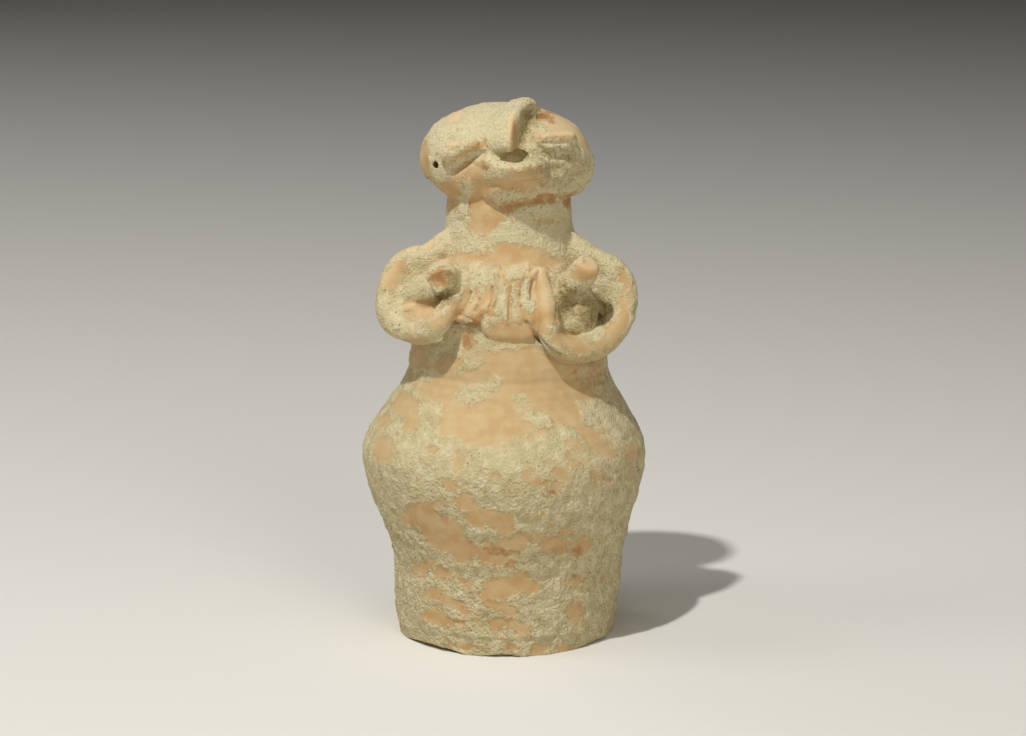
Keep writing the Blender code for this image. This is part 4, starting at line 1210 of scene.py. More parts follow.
@dataclass(frozen=True)
class ClayWork:
    """How the joined clay is worked: its grain, its tool marks and its worn skin."""

    picture: Picture
    body: ThrownBody
    weathering: Weathering
    # Where the hands lie, over which the crust's lumps are lower
    hands: Patch = Patch(Layer.BARE, -2.0, 24.0, 27.0, 13.0)
    grain: float = 0.5
    passes: int = 7
    triangles: int = 178000
    # Low waves of the wheel: their height and spacing
    waves: tuple[Pair, ...] = ((0.07, 3.1), (0.09, 7.4))
    # Noises of the clay's unevenness and of the crust's lumps: height, size and seed
    unevenness: tuple[tuple[float, float, int], ...] = ((0.28, 15.0, 61), (0.16, 6.0, 62))
    lumps: tuple[tuple[float, float, int], ...] = ((0.30, 3.6, 63), (0.30, 2.2, 64))
    crust_thickness: float = 0.18
    pit_spacing: float = 3.4
    pit_depth: float = 0.5
    pit_share: float = 0.2

    def join(self, lumps: list[Lump]) -> bpy.types.Object:
        """Presses lumps of clay into one skin and smooths the joins.

        Args:
            lumps: Closed lumps, which may run into each other.

        Returns:
            One object whose mesh is closed.
        """
        made = mesh_object("clay", *joined(lumps))
        skin = made.modifiers.new("lute together", "REMESH")
        skin.mode = "VOXEL"
        skin.voxel_size = self.grain * MM
        smooth = made.modifiers.new("smooth the joins", "SMOOTH")
        smooth.factor = 0.5
        smooth.iterations = self.passes
        log.info("joined %d lumps", len(lumps))
        return applied(made)

    def throwing_lines(self, points: Points) -> Values:
        """Low ridges of the wheel, on the body only.

        Args:
            points: Places on the surface, in millimetres.

        Returns:
            Millimetres: waves up the height that come and go round the body, and are weaker
            towards the foot and the chest.
        """
        height = points[:, 2] + 0.9 * noise(points, 30.0, 51)
        wave = sum(rise * np.sin(height * math.tau / spacing) for rise, spacing in self.waves)
        strength = 0.6 + 0.6 * noise(points * np.array([0.4, 0.4, 1.0]), 12.0, 52)
        above = mix(0.3, 1.0, ease((points[:, 2] - 60.0) / 20.0))
        return wave * strength * above * ease((self.body.chest - points[:, 2]) / 12.0)

    def pressed(self, places: Points, marks: tuple[Mark, ...]) -> Values:
        """The depth of some marks: a bell curve of the distance to each mark's line.

        Args:
            places: Two columns, across and up in the picture.
            marks: The marks, of which the deepest counts at each place.

        Returns:
            Millimetres at each place.
        """
        sunk = np.zeros(len(places))
        for mark in marks:
            stops = np.array(mark.places)
            if len(stops) == 1:
                stops = np.repeat(stops, 2, axis=0)
            near = np.full(len(places), 1e9)
            for start, end in zip(stops[:-1], stops[1:]):
                along = end - start
                share = np.clip((places - start) @ along / max(along @ along, 1e-9), 0.0, 1.0)
                gap = places - start - share[:, None] * along
                near = np.minimum(near, np.linalg.norm(gap, axis=1))
            sunk = np.maximum(sunk, mark.depth * np.exp(-((near / mark.half_width) ** 2)))
        return sunk

    def marks(self, points: Points, normals: Points) -> Values:
        """How far below the skin the hollows, grooves and pits press each place, less the ridges.

        Args:
            points: Places on the surface, in millimetres.
            normals: The surface's directions there.

        Returns:
            Millimetres, above 0 where the skin is pressed in.
        """
        places = self.picture.place(points)
        sunk = self.pressed(places, GROOVES + PITS) + self.pressed(places, HOLLOWS)
        return (sunk - self.pressed(places, RIDGES)) * ease(self.picture.facing(normals) / 0.3)

    def relief(self, points: Points, normals: Points) -> Values:
        """How far the worked skin stands out from the smooth one.

        Args:
            points: Places on the surface, in millimetres.
            normals: The surface's directions there.

        Returns:
            Millimetres along the normal: hand-made unevenness, wheel ridges, the crust's
            thickness and lumps, less its pits and the marks.
        """
        bare_depth = self.weathering.bareness(points, normals)[Layer.BARE]
        covered = ease(0.5 - bare_depth / 1.0)
        uneven = sum(high * noise(points, size, seed) for high, size, seed in self.unevenness)
        crumbly = mix(1.25, 0.65, ease((points[:, 2] - 45.0) / 25.0))
        handled = self.hands.depth(self.picture.place(points)) / self.hands.half_height
        crumbly = crumbly * mix(1.0, 0.25, ease(handled / 0.3))
        lumps = crumbly * sum(high * noise(points, size, seed) for high, size, seed in self.lumps)
        near, mark = nearest_seed(points, self.pit_spacing, 65)
        pits = self.pit_depth * (mark > 1.0 - self.pit_share) * np.exp(-((near / 0.16) ** 2))
        crusted = covered * (self.crust_thickness + lumps - pits)
        return uneven + self.throwing_lines(points) + crusted - self.marks(points, normals)

    def sculpt(self, clay: bpy.types.Object) -> None:
        """Moves every point of the skin along its normal by the relief."""
        points, normals = surface(clay)
        write_points(clay, points + normals * self.relief(points, normals)[:, None])
        log.info("worked %d points", len(points))

    def lighten(self, clay: bpy.types.Object) -> bpy.types.Object:
        """Leaves out triangles where the skin is flat."""
        faces = len(clay.data.polygons) * 2
        spare = clay.modifiers.new("fewer triangles", "DECIMATE")
        spare.ratio = min(1.0, self.triangles / faces)
        return applied(clay)


@dataclass(frozen=True)
class Foot:
    """The hand-cut foot: lifts in its rim between the stretches that it stands on."""

    body: ThrownBody
    # Each lift's middle in degrees round from the front, its half width and its height
    lifts: tuple[Triple, ...] = (
        (-43.0, 14.5, 1.6),
        (-2.0, 7.0, 1.0),
        (56.0, 9.5, 0.9),
        (128.0, 15.0, 1.2),
        (-138.0, 13.0, 1.3),
    )

    def ground(self) -> Lump:
        """Everything below the rim: a slab whose top rises in an arc under each lift.

        Returns:
            The closed lump, a fan of rings with the arcs and a little roughness in its top.
        """
        reach = np.concatenate([[0.5], np.linspace(20.0, 60.0, 30)])[:, None]
        bearing = np.linspace(0.0, math.tau, 300, endpoint=False)[None, :]
        x, y = reach * np.sin(bearing), -reach * np.cos(bearing)
        top = np.zeros_like(x)
        for middle, half, height in self.lifts:
            angle = math.radians(middle)
            aside = x * math.cos(angle) + y * math.sin(angle)
            outwards = x * math.sin(angle) - y * math.cos(angle)
            radius = (half**2 + height**2) / (2.0 * height)
            arc = height - radius + np.sqrt(np.maximum(radius**2 - aside**2, 0.0))
            top = np.maximum(top, np.where(outwards > 0.0, arc, 0.0))
        flat = np.stack([x, y, np.zeros_like(x)], axis=-1).reshape(-1, 3)
        rough = 0.22 * np.maximum(noise(flat, 5.0, 71, 2), 0.0).reshape(x.shape)
        above = np.stack([x, y, top + rough], axis=-1)
        below = np.stack([x, y, np.full_like(x, -12.0)], axis=-1)[::-1]
        return lump_of_rings("ground", np.concatenate([above, below]))


def joined(lumps: list[Lump]) -> tuple[Points, list[tuple[int, ...]]]:
    """Lays several lumps together without luting them.

    Args:
        lumps: The lumps.

    Returns:
        All their points and all their faces.
    """
    starts = np.cumsum([0] + [len(lump.points) for lump in lumps[:-1]])
    faces = [
        tuple(int(corner + start) for corner in face)
        for lump, start in zip(lumps, starts)
        for face in lump.faces
    ]
    return np.concatenate([lump.points for lump in lumps]), faces


def mesh_object(name: str, points: Points, faces: list[tuple[int, ...]]) -> bpy.types.Object:
    """A mesh object from points in millimetres, with its faces turned outward.

    Args:
        name: The object's and the mesh's name.
        points: One row of coordinates for each point.
        faces: The corners of each face.

    Returns:
        The object, linked to the scene.
    """
    mesh = bpy.data.meshes.new(name)
    mesh.from_pydata((points * MM).tolist(), [], faces)
    mesh.validate()
    made = bpy.data.objects.new(name, mesh)
    bpy.context.scene.collection.objects.link(made)
    return made


def applied(obj: bpy.types.Object) -> bpy.types.Object:
    """Gives an object the mesh that its modifiers make, and takes the modifiers off.

    Args:
        obj: The object.

    Returns:
        The same object.
    """
    bpy.context.view_layer.update()
    graph = bpy.context.evaluated_depsgraph_get()
    mesh = bpy.data.meshes.new_from_object(obj.evaluated_get(graph))
    old = obj.data
    obj.modifiers.clear()
    obj.data = mesh
    bpy.data.meshes.remove(old)
    return obj


def surface(obj: bpy.types.Object) -> tuple[Points, Points]:
    """Reads an object's surface.

    Args:
        obj: The object.

    Returns:
        Its points in millimetres, and the surface's direction at each.
    """
    mesh = obj.data
    points = np.empty(len(mesh.vertices) * 3, np.float32)
    mesh.vertices.foreach_get("co", points)
    normals = np.empty(len(mesh.vertices) * 3, np.float32)
    mesh.vertex_normals.foreach_get("vector", normals)
    return points.reshape(-1, 3).astype(float) / MM, normals.reshape(-1, 3).astype(float)


def write_points(obj: bpy.types.Object, points: Points) -> None:
    """Moves an object's points to these places in millimetres."""
    obj.data.vertices.foreach_set("co", (points * MM).astype(np.float32).ravel())
    obj.data.update()


def write_values(obj: bpy.types.Object, name: str, values: Values) -> None:
    """Stores one value for each point of an object under this name."""
    layer = obj.data.attributes.new(name, "FLOAT", "POINT")
    layer.data.foreach_set("value", values.astype(np.float32))


def outward(obj: bpy.types.Object) -> bpy.types.Object:
    """Turns an object's faces outward if its volume comes out negative.

    Args:
        obj: An object whose mesh is closed.

    Returns:
        The same object.
    """
    mesh = obj.data
    mesh.calc_loop_triangles()
    corners = np.empty(len(mesh.loop_triangles) * 3, np.int32)
    mesh.loop_triangles.foreach_get("vertices", corners)
    points = surface(obj)[0][corners].reshape(-1, 3, 3)
    volume = np.einsum("ij,ij->i", points[:, 0], np.cross(points[:, 1], points[:, 2])).sum()
    if volume < 0:
        mesh.flip_normals()
    return obj


def cut(obj: bpy.types.Object, cutters: list[Lump]) -> bpy.types.Object:
    """Takes closed lumps out of a closed object.

    Args:
        obj: The object that is cut.
        cutters: What is taken out, one after another.

    Returns:
        The same object with its new mesh.
    """
    tools = []
    for lump in cutters:
        tool = outward(mesh_object(lump.name, lump.points, lump.faces))
        boolean = obj.modifiers.new(f"cut the {lump.name}", "BOOLEAN")
        boolean.operation = "DIFFERENCE"
        boolean.solver = "MANIFOLD"
        boolean.object = tool
        tools.append(tool)
    applied(obj)
    for tool in tools:
        bpy.data.objects.remove(tool)
    log.info("cut %s", ", ".join(lump.name for lump in cutters))
    return cleaned(obj)


def separate_bits(mesh: bpy.types.Mesh) -> np.ndarray:
    """A number for each point of a mesh, the same all over each bit that hangs together.

    Args:
        mesh: The mesh.

    Returns:
        One number for each point. At first every point has its own. Then, of the two numbers at
        an edge's ends, the higher is renamed to the lower, until no edge joins two numbers.
    """
    ends = np.empty(len(mesh.edges) * 2, np.int32)
    mesh.edges.foreach_get("vertices", ends)
    number = np.arange(len(mesh.vertices))
    while True:
        first, second = number[ends.reshape(-1, 2).T]
        if np.array_equal(first, second):
            return number
        np.minimum.at(number, np.maximum(first, second), np.minimum(first, second))
        while not np.array_equal(number, number[number]):
            number = number[number]


def cleaned(obj: bpy.types.Object) -> bpy.types.Object:
    """Takes out faces that have no area, and crumbs that aren't joined to the main skin.

    Args:
        obj: The object.

    Returns:
        The same object with one closed skin, in triangles.
    """
    skin = bmesh.new()
    skin.from_mesh(obj.data)
    bmesh.ops.triangulate(skin, faces=skin.faces)
    bmesh.ops.dissolve_degenerate(skin, dist=0.001 * MM, edges=skin.edges)
    bmesh.ops.triangulate(skin, faces=skin.faces)
    skin.to_mesh(obj.data)
    number = separate_bits(obj.data)
    skin.verts.ensure_lookup_table()
    crumbs = np.flatnonzero(number != np.bincount(number).argmax()).tolist()
    bmesh.ops.delete(skin, geom=[skin.verts[at] for at in crumbs], context="VERTS")
    skin.to_mesh(obj.data)
    skin.free()
    log.info("took out %d points of crumbs", len(crumbs))
    return obj


EASED = {"interpolation_type": "SMOOTHSTEP"}
SUM = {"operation": "ADD"}
PRODUCT = {"operation": "MULTIPLY"}
PRODUCT_AND_SUM = {"operation": "MULTIPLY_ADD"}
LARGER = {"operation": "MAXIMUM"}
OF_VALUES = {"data_type": "FLOAT"}
OF_COLOURS = {"data_type": "RGBA"}


@dataclass(frozen=True)
class NodeTree:
    """A material's nodes, added one at a time with their settings and links."""

    tree: bpy.types.NodeTree

    def add(
        self, kind: str, settings: dict | None = None, out: int | str = 0, **inputs: object
    ) -> Socket | None:
        """Adds a node.

        Args:
            kind: The node's type name, without ShaderNode.
            settings: Its own properties.
            out: Which output is wanted, by its place or name.
            inputs: Its inputs by name, with spaces as underscores, or by place, as i0. A socket
                is linked, and anything else is the input's constant.

        Returns:
            The wanted output, or None from a node that has none.
        """
        node = self.tree.nodes.new("ShaderNode" + kind)
        for name, value in (settings or {}).items():
            setattr(node, name, value)
        for name, value in inputs.items():
            socket = node.inputs[int(name[1:]) if name[1:].isdigit() else name.replace("_", " ")]
            if isinstance(value, bpy.types.NodeSocket):
                self.tree.links.new(value, socket)
            else:
                socket.default_value = value
        return node.outputs[out] if node.outputs else None


def read(low: float, high: float) -> dict[str, float]:
    """The values between which an eased range starts and ends, as its inputs."""
    return {"From_Min": low, "From_Max": high}


def give(low: float, high: float) -> dict[str, float]:
    """What an eased range gives at its start and its end, as its inputs."""
    return {"To_Min": low, "To_Max": high}


@dataclass(frozen=True)
class Stain:
    """Blotches of one colour where noise of a size in millimetres passes from low to high."""

    colour: str
    size: float
    detail: float
    low: float
    high: float
    share: float

    def over(self, nodes: NodeTree, where: Socket, under: Socket) -> Socket:
        """Lays the blotches over a colour.

        Args:
            nodes: The material's nodes.
            where: The place on the surface, in metres.
            under: The colour below.

        Returns:
            The colour with the blotches on it.
        """
        scale = per_metre(self.size)
        blotch = nodes.add("TexNoise", Vector=where, Scale=scale, Detail=self.detail)
        share = nodes.add(
            "MapRange", EASED, Value=blotch, **read(self.low, self.high), **give(0.0, self.share)
        )
        return nodes.add("Mix", OF_COLOURS, 2, i0=share, i6=under, i7=linear_colour(self.colour))


@dataclass(frozen=True)
class FiredClay:
    """Low-fired clay, burnished by nothing but the hand: matt, warm tan with paler and redder
    clouds, a whitish veil where lime still clings, and the wheel's fine streaks round it.
    """

    base: str = "bf9a69"
    pale: str = "caac80"
    deep: str = "ae8350"
    red: str = "a06f42"
    veil: str = "c6b488"
    # Paler where the surface faces up, on the shoulders and above: dust, and painted top light
    dust_and_top_light: str = "e0caa2"
    cloud_size: float = 7.0
    streak_size: float = 0.8
    streak_stretch: Triple = (0.12, 0.12, 1.0)
    streak_noise: Pair = (0.5, 0.8)
    streak_share: float = 0.12
    belly_veil: float = 0.25
    # How much of the earth colour, which also paints shade in hollows, lies on bare clay
    earth_and_shade_share: float = 0.6
    veils: tuple[Stain, ...] = (Stain(veil, 3.5, 6.0, 0.45, 0.75, 0.5),)
    tooth: float = 0.6
    tooth_height: float = 0.05
    roughness: float = 0.9


@dataclass(frozen=True)
class BurialCrust:
    """Lime and earth from the ground, dried on: dead matt, greenish cream, grainy like coarse
    sandpaper, with dark pits, and brown earth that also paints the shade in hollows.
    """

    base: str = "c2b389"
    pale: str = "d8cca6"
    deep: str = "aa9b6e"
    pit: str = "76653f"
    # Brown earth; the same colour paints the shade in pockets and hollows
    earth_and_shade: str = "9a8556"
    stained: str = "caac80"
    lime_size: float = 4.0
    lime_heights: Pair = (116.0, 146.0)
    lime_share: float = 0.85
    blotches: tuple[Stain, ...] = (
        Stain(deep, 1.1, 3.0, 0.5, 0.8, 0.5),
        Stain(deep, 0.5, 2.0, 0.5, 0.72, 0.48),
        Stain(stained, 6.0, 5.0, 0.5, 0.75, 0.3),
    )
    thickness: float = 0.12
    granule_size: float = 1.25
    granule_heights: Pair = (-0.05, -0.29)
    lump_size: float = 1.6
    lump_height: float = 0.42
    grain_size: float = 0.55
    grain_height: float = 0.20
    # Which granules are pitted, where pits gather, and where in a granule a pit starts and ends
    pitted_granules: Pair = (0.70, 0.78)
    pitted_size: float = 11.0
    pitted_noise: Pair = (0.48, 0.62)
    pit_rim: Pair = (0.1, 0.35)
    pit_share: float = 0.8
    pit_depth: float = 0.30
    # It is crumbly below the first height and finer above the second
    crumbly_heights: Pair = (48.0, 76.0)
    crumbliness: Pair = (2.4, 0.85)
    earth_and_shade_crumbliness: float = 1.2
    roughness: float = 0.97


@dataclass(frozen=True)
class Masks:
    """What both finishes are laid out by: sockets of the place, and of values from 0 to 1."""

    where: Socket
    height: Socket
    belly: Socket
    bare: Socket
    red: Socket
    earth_and_shade: Socket
    dust_and_top_light: Socket
    granules: Socket
    pits: Socket


@dataclass(frozen=True)
class WeatheredTerracotta:
    """The figurine's material: fired clay where it is bare, and burial crust on the rest."""

    clay: FiredClay = FiredClay()
    crust: BurialCrust = BurialCrust()
    # Patch edges: share of the noise's size, its detail, its low end and millimetres of reach
    ragged_noises: tuple[tuple[float, float, float, float], ...] = (
        (1.0, 3.0, 0.2, 1.0),
        (0.35, 2.0, 0.25, 0.5),
    )
    bare_ragged_size: float = 1.5
    stain_ragged_size: float = 1.8
    # Millimetres into a patch between which each layer comes in
    crisp_edge: Pair = (-0.22, 0.22)
    faded_edge: Pair = (-2.6, 1.8)
    red_edge: Pair = (-0.8, 1.6)
    earth_and_shade_edge: Pair = (-1.2, 1.6)
    stain_share: float = 0.72
    # Where noise thins the crust, and how much of that shows off the belly and on it
    thin_size: float = 8.0
    thin_noise: Pair = (0.42, 0.60)
    thin_shares: Pair = (0.35, 0.8)
    # Heights between which the worn belly comes in and goes, and above which dust and painted top
    # light lie
    belly_foot: Pair = (52.0, 72.0)
    belly_top: Pair = (118.0, 108.0)
    dust_and_top_light_heights: Pair = (112.0, 126.0)
    # How far up a surface has to face for dust and painted top light, and how much of them lies
    # there
    dust_and_top_light_tilts: Pair = (0.2, 0.85)
    dust_and_top_light_share: float = 0.6
    sheen: float = 0.15
    relief: float = 0.9

    def ragged(self, nodes: NodeTree, where: Socket, layer: Layer, size: float) -> Socket:
        """How deep inside a layer's patches the surface lies, with ragged edges.

        Args:
            nodes: The material's nodes.
            where: The place on the surface, in metres.
            layer: The layer, whose depth is stored with the mesh.
            size: The size of the coarser of two noises that are added, in millimetres.

        Returns:
            The depth in millimetres, below 0 outside the patches.
        """
        depth = nodes.add("Attribute", {"attribute_name": layer.name.lower()}, "Fac")
        for share, detail, low, reach in self.ragged_noises:
            scale = per_metre(size * share)
            rough = nodes.add("TexNoise", Vector=where, Scale=scale, Detail=detail)
            rough = nodes.add(
                "MapRange", EASED, Value=rough, **read(low, 1.0 - low), **give(-reach, reach)
            )
            depth = nodes.add("Math", SUM, i0=depth, i1=rough)
        return depth

    def masks(self, nodes: NodeTree) -> Masks:
        """Works out where each layer lies.

        Args:
            nodes: The material's nodes.

        Returns:
            The masks. Bare clay has crisp edges, and faded ones where noise thins the crust, most
            of all on the belly. Dust and painted top light lie on what faces up, on the shoulders
            and above. Pits lie in a few of the crust's granules, and in many where the dark earth,
            which also paints shade, is.
        """
        where = nodes.add("TexCoord", out="Object")
        height = nodes.add("SeparateXYZ", out="Z", Vector=where)
        rise, fall, shoulders = (
            nodes.add("MapRange", EASED, Value=height, **read(start * MM, full * MM))
            for start, full in (self.belly_foot, self.belly_top, self.dust_and_top_light_heights)
        )
        belly = nodes.add("Math", PRODUCT, i0=rise, i1=fall)

        depth = self.ragged(nodes, where, Layer.BARE, self.bare_ragged_size)
        crisp, faded = (
            nodes.add("MapRange", EASED, Value=depth, **read(low, high))
            for low, high in (self.crisp_edge, self.faded_edge)
        )
        thin = nodes.add("TexNoise", Vector=where, Scale=per_metre(self.thin_size), Detail=2.0)
        thin = nodes.add("MapRange", EASED, Value=thin, **read(*self.thin_noise))
        often = nodes.add("MapRange", EASED, Value=belly, **give(*self.thin_shares))
        thinned = nodes.add("Math", PRODUCT, i0=thin, i1=often)
        bare_share = nodes.add("Mix", OF_VALUES, i0=thinned, i2=crisp, i3=faded)

        # Red clay, and earth that also paints shade in the pockets, beside the nose and on the
        # cheek
        red_share, earth_and_shade_share = (
            nodes.add(
                "MapRange",
                EASED,
                Value=self.ragged(nodes, where, layer, self.stain_ragged_size),
                **read(low, high),
                **give(0.0, self.stain_share),
            )
            for layer, (low, high) in ((Layer.RED, self.red_edge), (Layer.EARTH_AND_SHADE, self.earth_and_shade_edge))
        )
        # Paler on what faces up: dust, and painted top light
        upward = nodes.add("Attribute", {"attribute_name": "upward"}, "Fac")
        tilted, most = read(*self.dust_and_top_light_tilts), give(0.0, self.dust_and_top_light_share)
        upward = nodes.add("MapRange", EASED, Value=upward, **tilted, **most)
        dust_and_top_light = nodes.add("Math", PRODUCT, i0=upward, i1=shoulders)

        crust = self.crust
        scale = per_metre(crust.granule_size)
        granules = nodes.add("TexVoronoi", Vector=where, Scale=scale, Randomness=1.0)
        kind = nodes.add("SeparateColor", Color=granules.node.outputs["Color"])
        patchy = nodes.add("TexNoise", Vector=where, Scale=per_metre(crust.pitted_size), Detail=2.0)
        few, patchy = (
            nodes.add("MapRange", EASED, Value=value, **read(low, high))
            for value, (low, high) in ((kind, crust.pitted_granules), (patchy, crust.pitted_noise))
        )
        few = nodes.add("Math", PRODUCT, i0=few, i1=patchy)
        many = nodes.add("MapRange", EASED, Value=earth_and_shade_share, **read(0.1, 0.5))
        few = nodes.add("Math", LARGER, i0=few, i1=many)
        rim = read(*crust.pit_rim)
        holes = nodes.add("MapRange", EASED, Value=granules, **rim, **give(1.0, 0.0))
        pits = nodes.add("Math", PRODUCT, i0=few, i1=holes)
        return Masks(where, height, belly, bare_share, red_share, earth_and_shade_share, dust_and_top_light, granules, pits)

    def streaks(self, nodes: NodeTree, where: Socket) -> Socket:
        """The wheel's streaks.

        Args:
            nodes: The material's nodes.
            where: The place on the surface, in metres.

        Returns:
            Noise drawn out round the body, from 0 to 1.
        """
        drawn = nodes.add(
            "Mapping", {"vector_type": "POINT"}, Vector=where, Scale=self.clay.streak_stretch
        )
        return nodes.add(
            "TexNoise", Vector=drawn, Scale=per_metre(self.clay.streak_size), Detail=2.0
        )

    def clay_colour(self, nodes: NodeTree, on: Masks, streaks: Socket) -> Socket:
        """Colours the bare clay.

        Args:
            nodes: The material's nodes.
            on: Where each layer lies.
            streaks: The wheel's streaks.

        Returns:
            The colour: clouds, streaks and veils, then dust with painted top light, fresher red
                clay,
            and earth with painted shade.
        """
        clay = self.clay
        cloud = nodes.add("TexNoise", Vector=on.where, Scale=per_metre(clay.cloud_size), Detail=4.0)
        cloud = nodes.add("MapRange", EASED, Value=cloud, **read(0.3, 0.7))
        streak = nodes.add(
            "MapRange",
            EASED,
            Value=streaks,
            **read(*clay.streak_noise),
            **give(0.0, clay.streak_share),
        )
        colour = linear_colour(clay.base)
        for share, over in ((cloud, clay.pale), (streak, clay.deep)):
            colour = nodes.add("Mix", OF_COLOURS, 2, i0=share, i6=colour, i7=linear_colour(over))
        for stain in clay.veils:
            colour = stain.over(nodes, on.where, colour)
        veiled = nodes.add("Math", PRODUCT, i0=on.belly, i1=clay.belly_veil)
        # Earth over bare clay, which also paints shade in hollows
        dirt_and_shade = nodes.add("Math", PRODUCT, i0=on.earth_and_shade, i1=clay.earth_and_shade_share)
        layers = (
            (veiled, clay.veil),
            (on.dust_and_top_light, clay.dust_and_top_light),
            (on.red, clay.red),
            (dirt_and_shade, self.crust.earth_and_shade),
        )
        for share, over in layers:
            colour = nodes.add("Mix", OF_COLOURS, 2, i0=share, i6=colour, i7=linear_colour(over))
        return colour

    def crust_colour(self, nodes: NodeTree, on: Masks) -> Socket:
        """Colours the burial crust.

        Args:
            nodes: The material's nodes.
            on: Where each layer lies.

        Returns:
            The colour: paler with lime in patches, where dust and painted top light lie and towards
            the head, then blotched, dark in its pits, and brown with earth that also paints shade
            in hollows.
        """
        crust = self.crust
        lime = nodes.add("TexNoise", Vector=on.where, Scale=per_metre(crust.lime_size), Detail=4.0)
        lime = nodes.add("MapRange", EASED, Value=lime, **read(0.3, 0.7))
        start, full = (limit * MM for limit in crust.lime_heights)
        upper = nodes.add(
            "MapRange", EASED, Value=on.height, **read(start, full), **give(0.0, crust.lime_share)
        )
        for more in (on.dust_and_top_light, upper):
            lime = nodes.add("Math", LARGER, i0=lime, i1=more)
        base, pale = linear_colour(crust.base), linear_colour(crust.pale)
        colour = nodes.add("Mix", OF_COLOURS, 2, i0=lime, i6=base, i7=pale)
        for stain in crust.blotches:
            colour = stain.over(nodes, on.where, colour)
        pitted = nodes.add("Math", PRODUCT, i0=on.pits, i1=crust.pit_share)
        for share, over in ((pitted, crust.pit), (on.earth_and_shade, crust.earth_and_shade)):
            colour = nodes.add("Mix", OF_COLOURS, 2, i0=share, i6=colour, i7=linear_colour(over))
        return colour

    def crust_height(self, nodes: NodeTree, on: Masks) -> Socket:
        """Raises the crust over the clay.

        Args:
            nodes: The material's nodes.
            on: Where each layer lies.

        Returns:
            Millimetres: the crust's thickness and fine grain, lumps and granules that are
                coarser towards the foot and where the earth and painted shade lie, less the pits.
        """
        crust = self.crust
        low, high = (limit * MM for limit in crust.crumbly_heights)
        most, least = crust.crumbliness
        crumbly = nodes.add(
            "MapRange", EASED, Value=on.height, **read(low, high), **give(most, least)
        )
        crumbly = nodes.add(
            "Math", PRODUCT_AND_SUM, i0=on.earth_and_shade, i1=crust.earth_and_shade_crumbliness, i2=crumbly
        )
        top, bottom = crust.granule_heights
        lumps = nodes.add("TexNoise", Vector=on.where, Scale=per_metre(crust.lump_size), Detail=2.0)
        granules = nodes.add(
            "MapRange", EASED, Value=on.granules, **read(0.0, 0.8), **give(top, bottom)
        )
        lumps = nodes.add(
            "Math", PRODUCT_AND_SUM, i0=lumps, i1=crust.lump_height, i2=granules
        )
        scale = per_metre(crust.grain_size)
        grain = nodes.add("TexNoise", Vector=on.where, Scale=scale, Detail=1.0)
        grain = nodes.add(
            "MapRange",
            EASED,
            Value=grain,
            **read(0.3, 0.7),
            **give(crust.thickness, crust.thickness + crust.grain_height),
        )
        height = nodes.add("Math", PRODUCT_AND_SUM, i0=lumps, i1=crumbly, i2=grain)
        return nodes.add("Math", PRODUCT_AND_SUM, i0=on.pits, i1=-crust.pit_depth, i2=height)

    def make(self) -> bpy.types.Material:
        """Builds the material.

        Returns:
            A material that reads four values stored with the mesh: one for each of the bare, red
            and earth layers, named after the layer, in millimetres of depth into such a patch, and
            "upward", the height of the surface's direction. The earth layer also paints shade in
            hollows, and what faces up is painted paler with dust and top light. Fine noise breaks
            the patches' edges up, and a bump gives the crust its thickness, its grain and its pits,
            and the clay its tooth.
        """
        made = bpy.data.materials.new("weathered terracotta")
        made.use_nodes = True
        made.node_tree.nodes.clear()
        nodes = NodeTree(made.node_tree)
        on = self.masks(nodes)
        streaks = self.streaks(nodes, on.where)
        crust, clay = self.crust_colour(nodes, on), self.clay_colour(nodes, on, streaks)
        colour = nodes.add("Mix", OF_COLOURS, 2, i0=on.bare, i6=crust, i7=clay)
        tooth = nodes.add(
            "TexNoise", Vector=on.where, Scale=per_metre(self.clay.tooth), Detail=3.0
        )
        tooth = nodes.add("Math", SUM, i0=streaks, i1=tooth)
        tooth = nodes.add("Math", PRODUCT, i0=tooth, i1=self.clay.tooth_height)
        crusted = self.crust_height(nodes, on)
        height = nodes.add("Mix", OF_VALUES, i0=on.bare, i2=crusted, i3=tooth)
        roughness = nodes.add(
            "Mix", OF_VALUES, i0=on.bare, i2=self.crust.roughness, i3=self.clay.roughness
        )
        bump = nodes.add("Bump", Height=height, Strength=self.relief, Distance=MM)
        shader = nodes.add(
            "BsdfPrincipled",
            Base_Color=colour,
            Roughness=roughness,
            Normal=bump,
            Specular_IOR_Level=self.sheen,
        )
        nodes.add("OutputMaterial", Surface=shader)
        return made


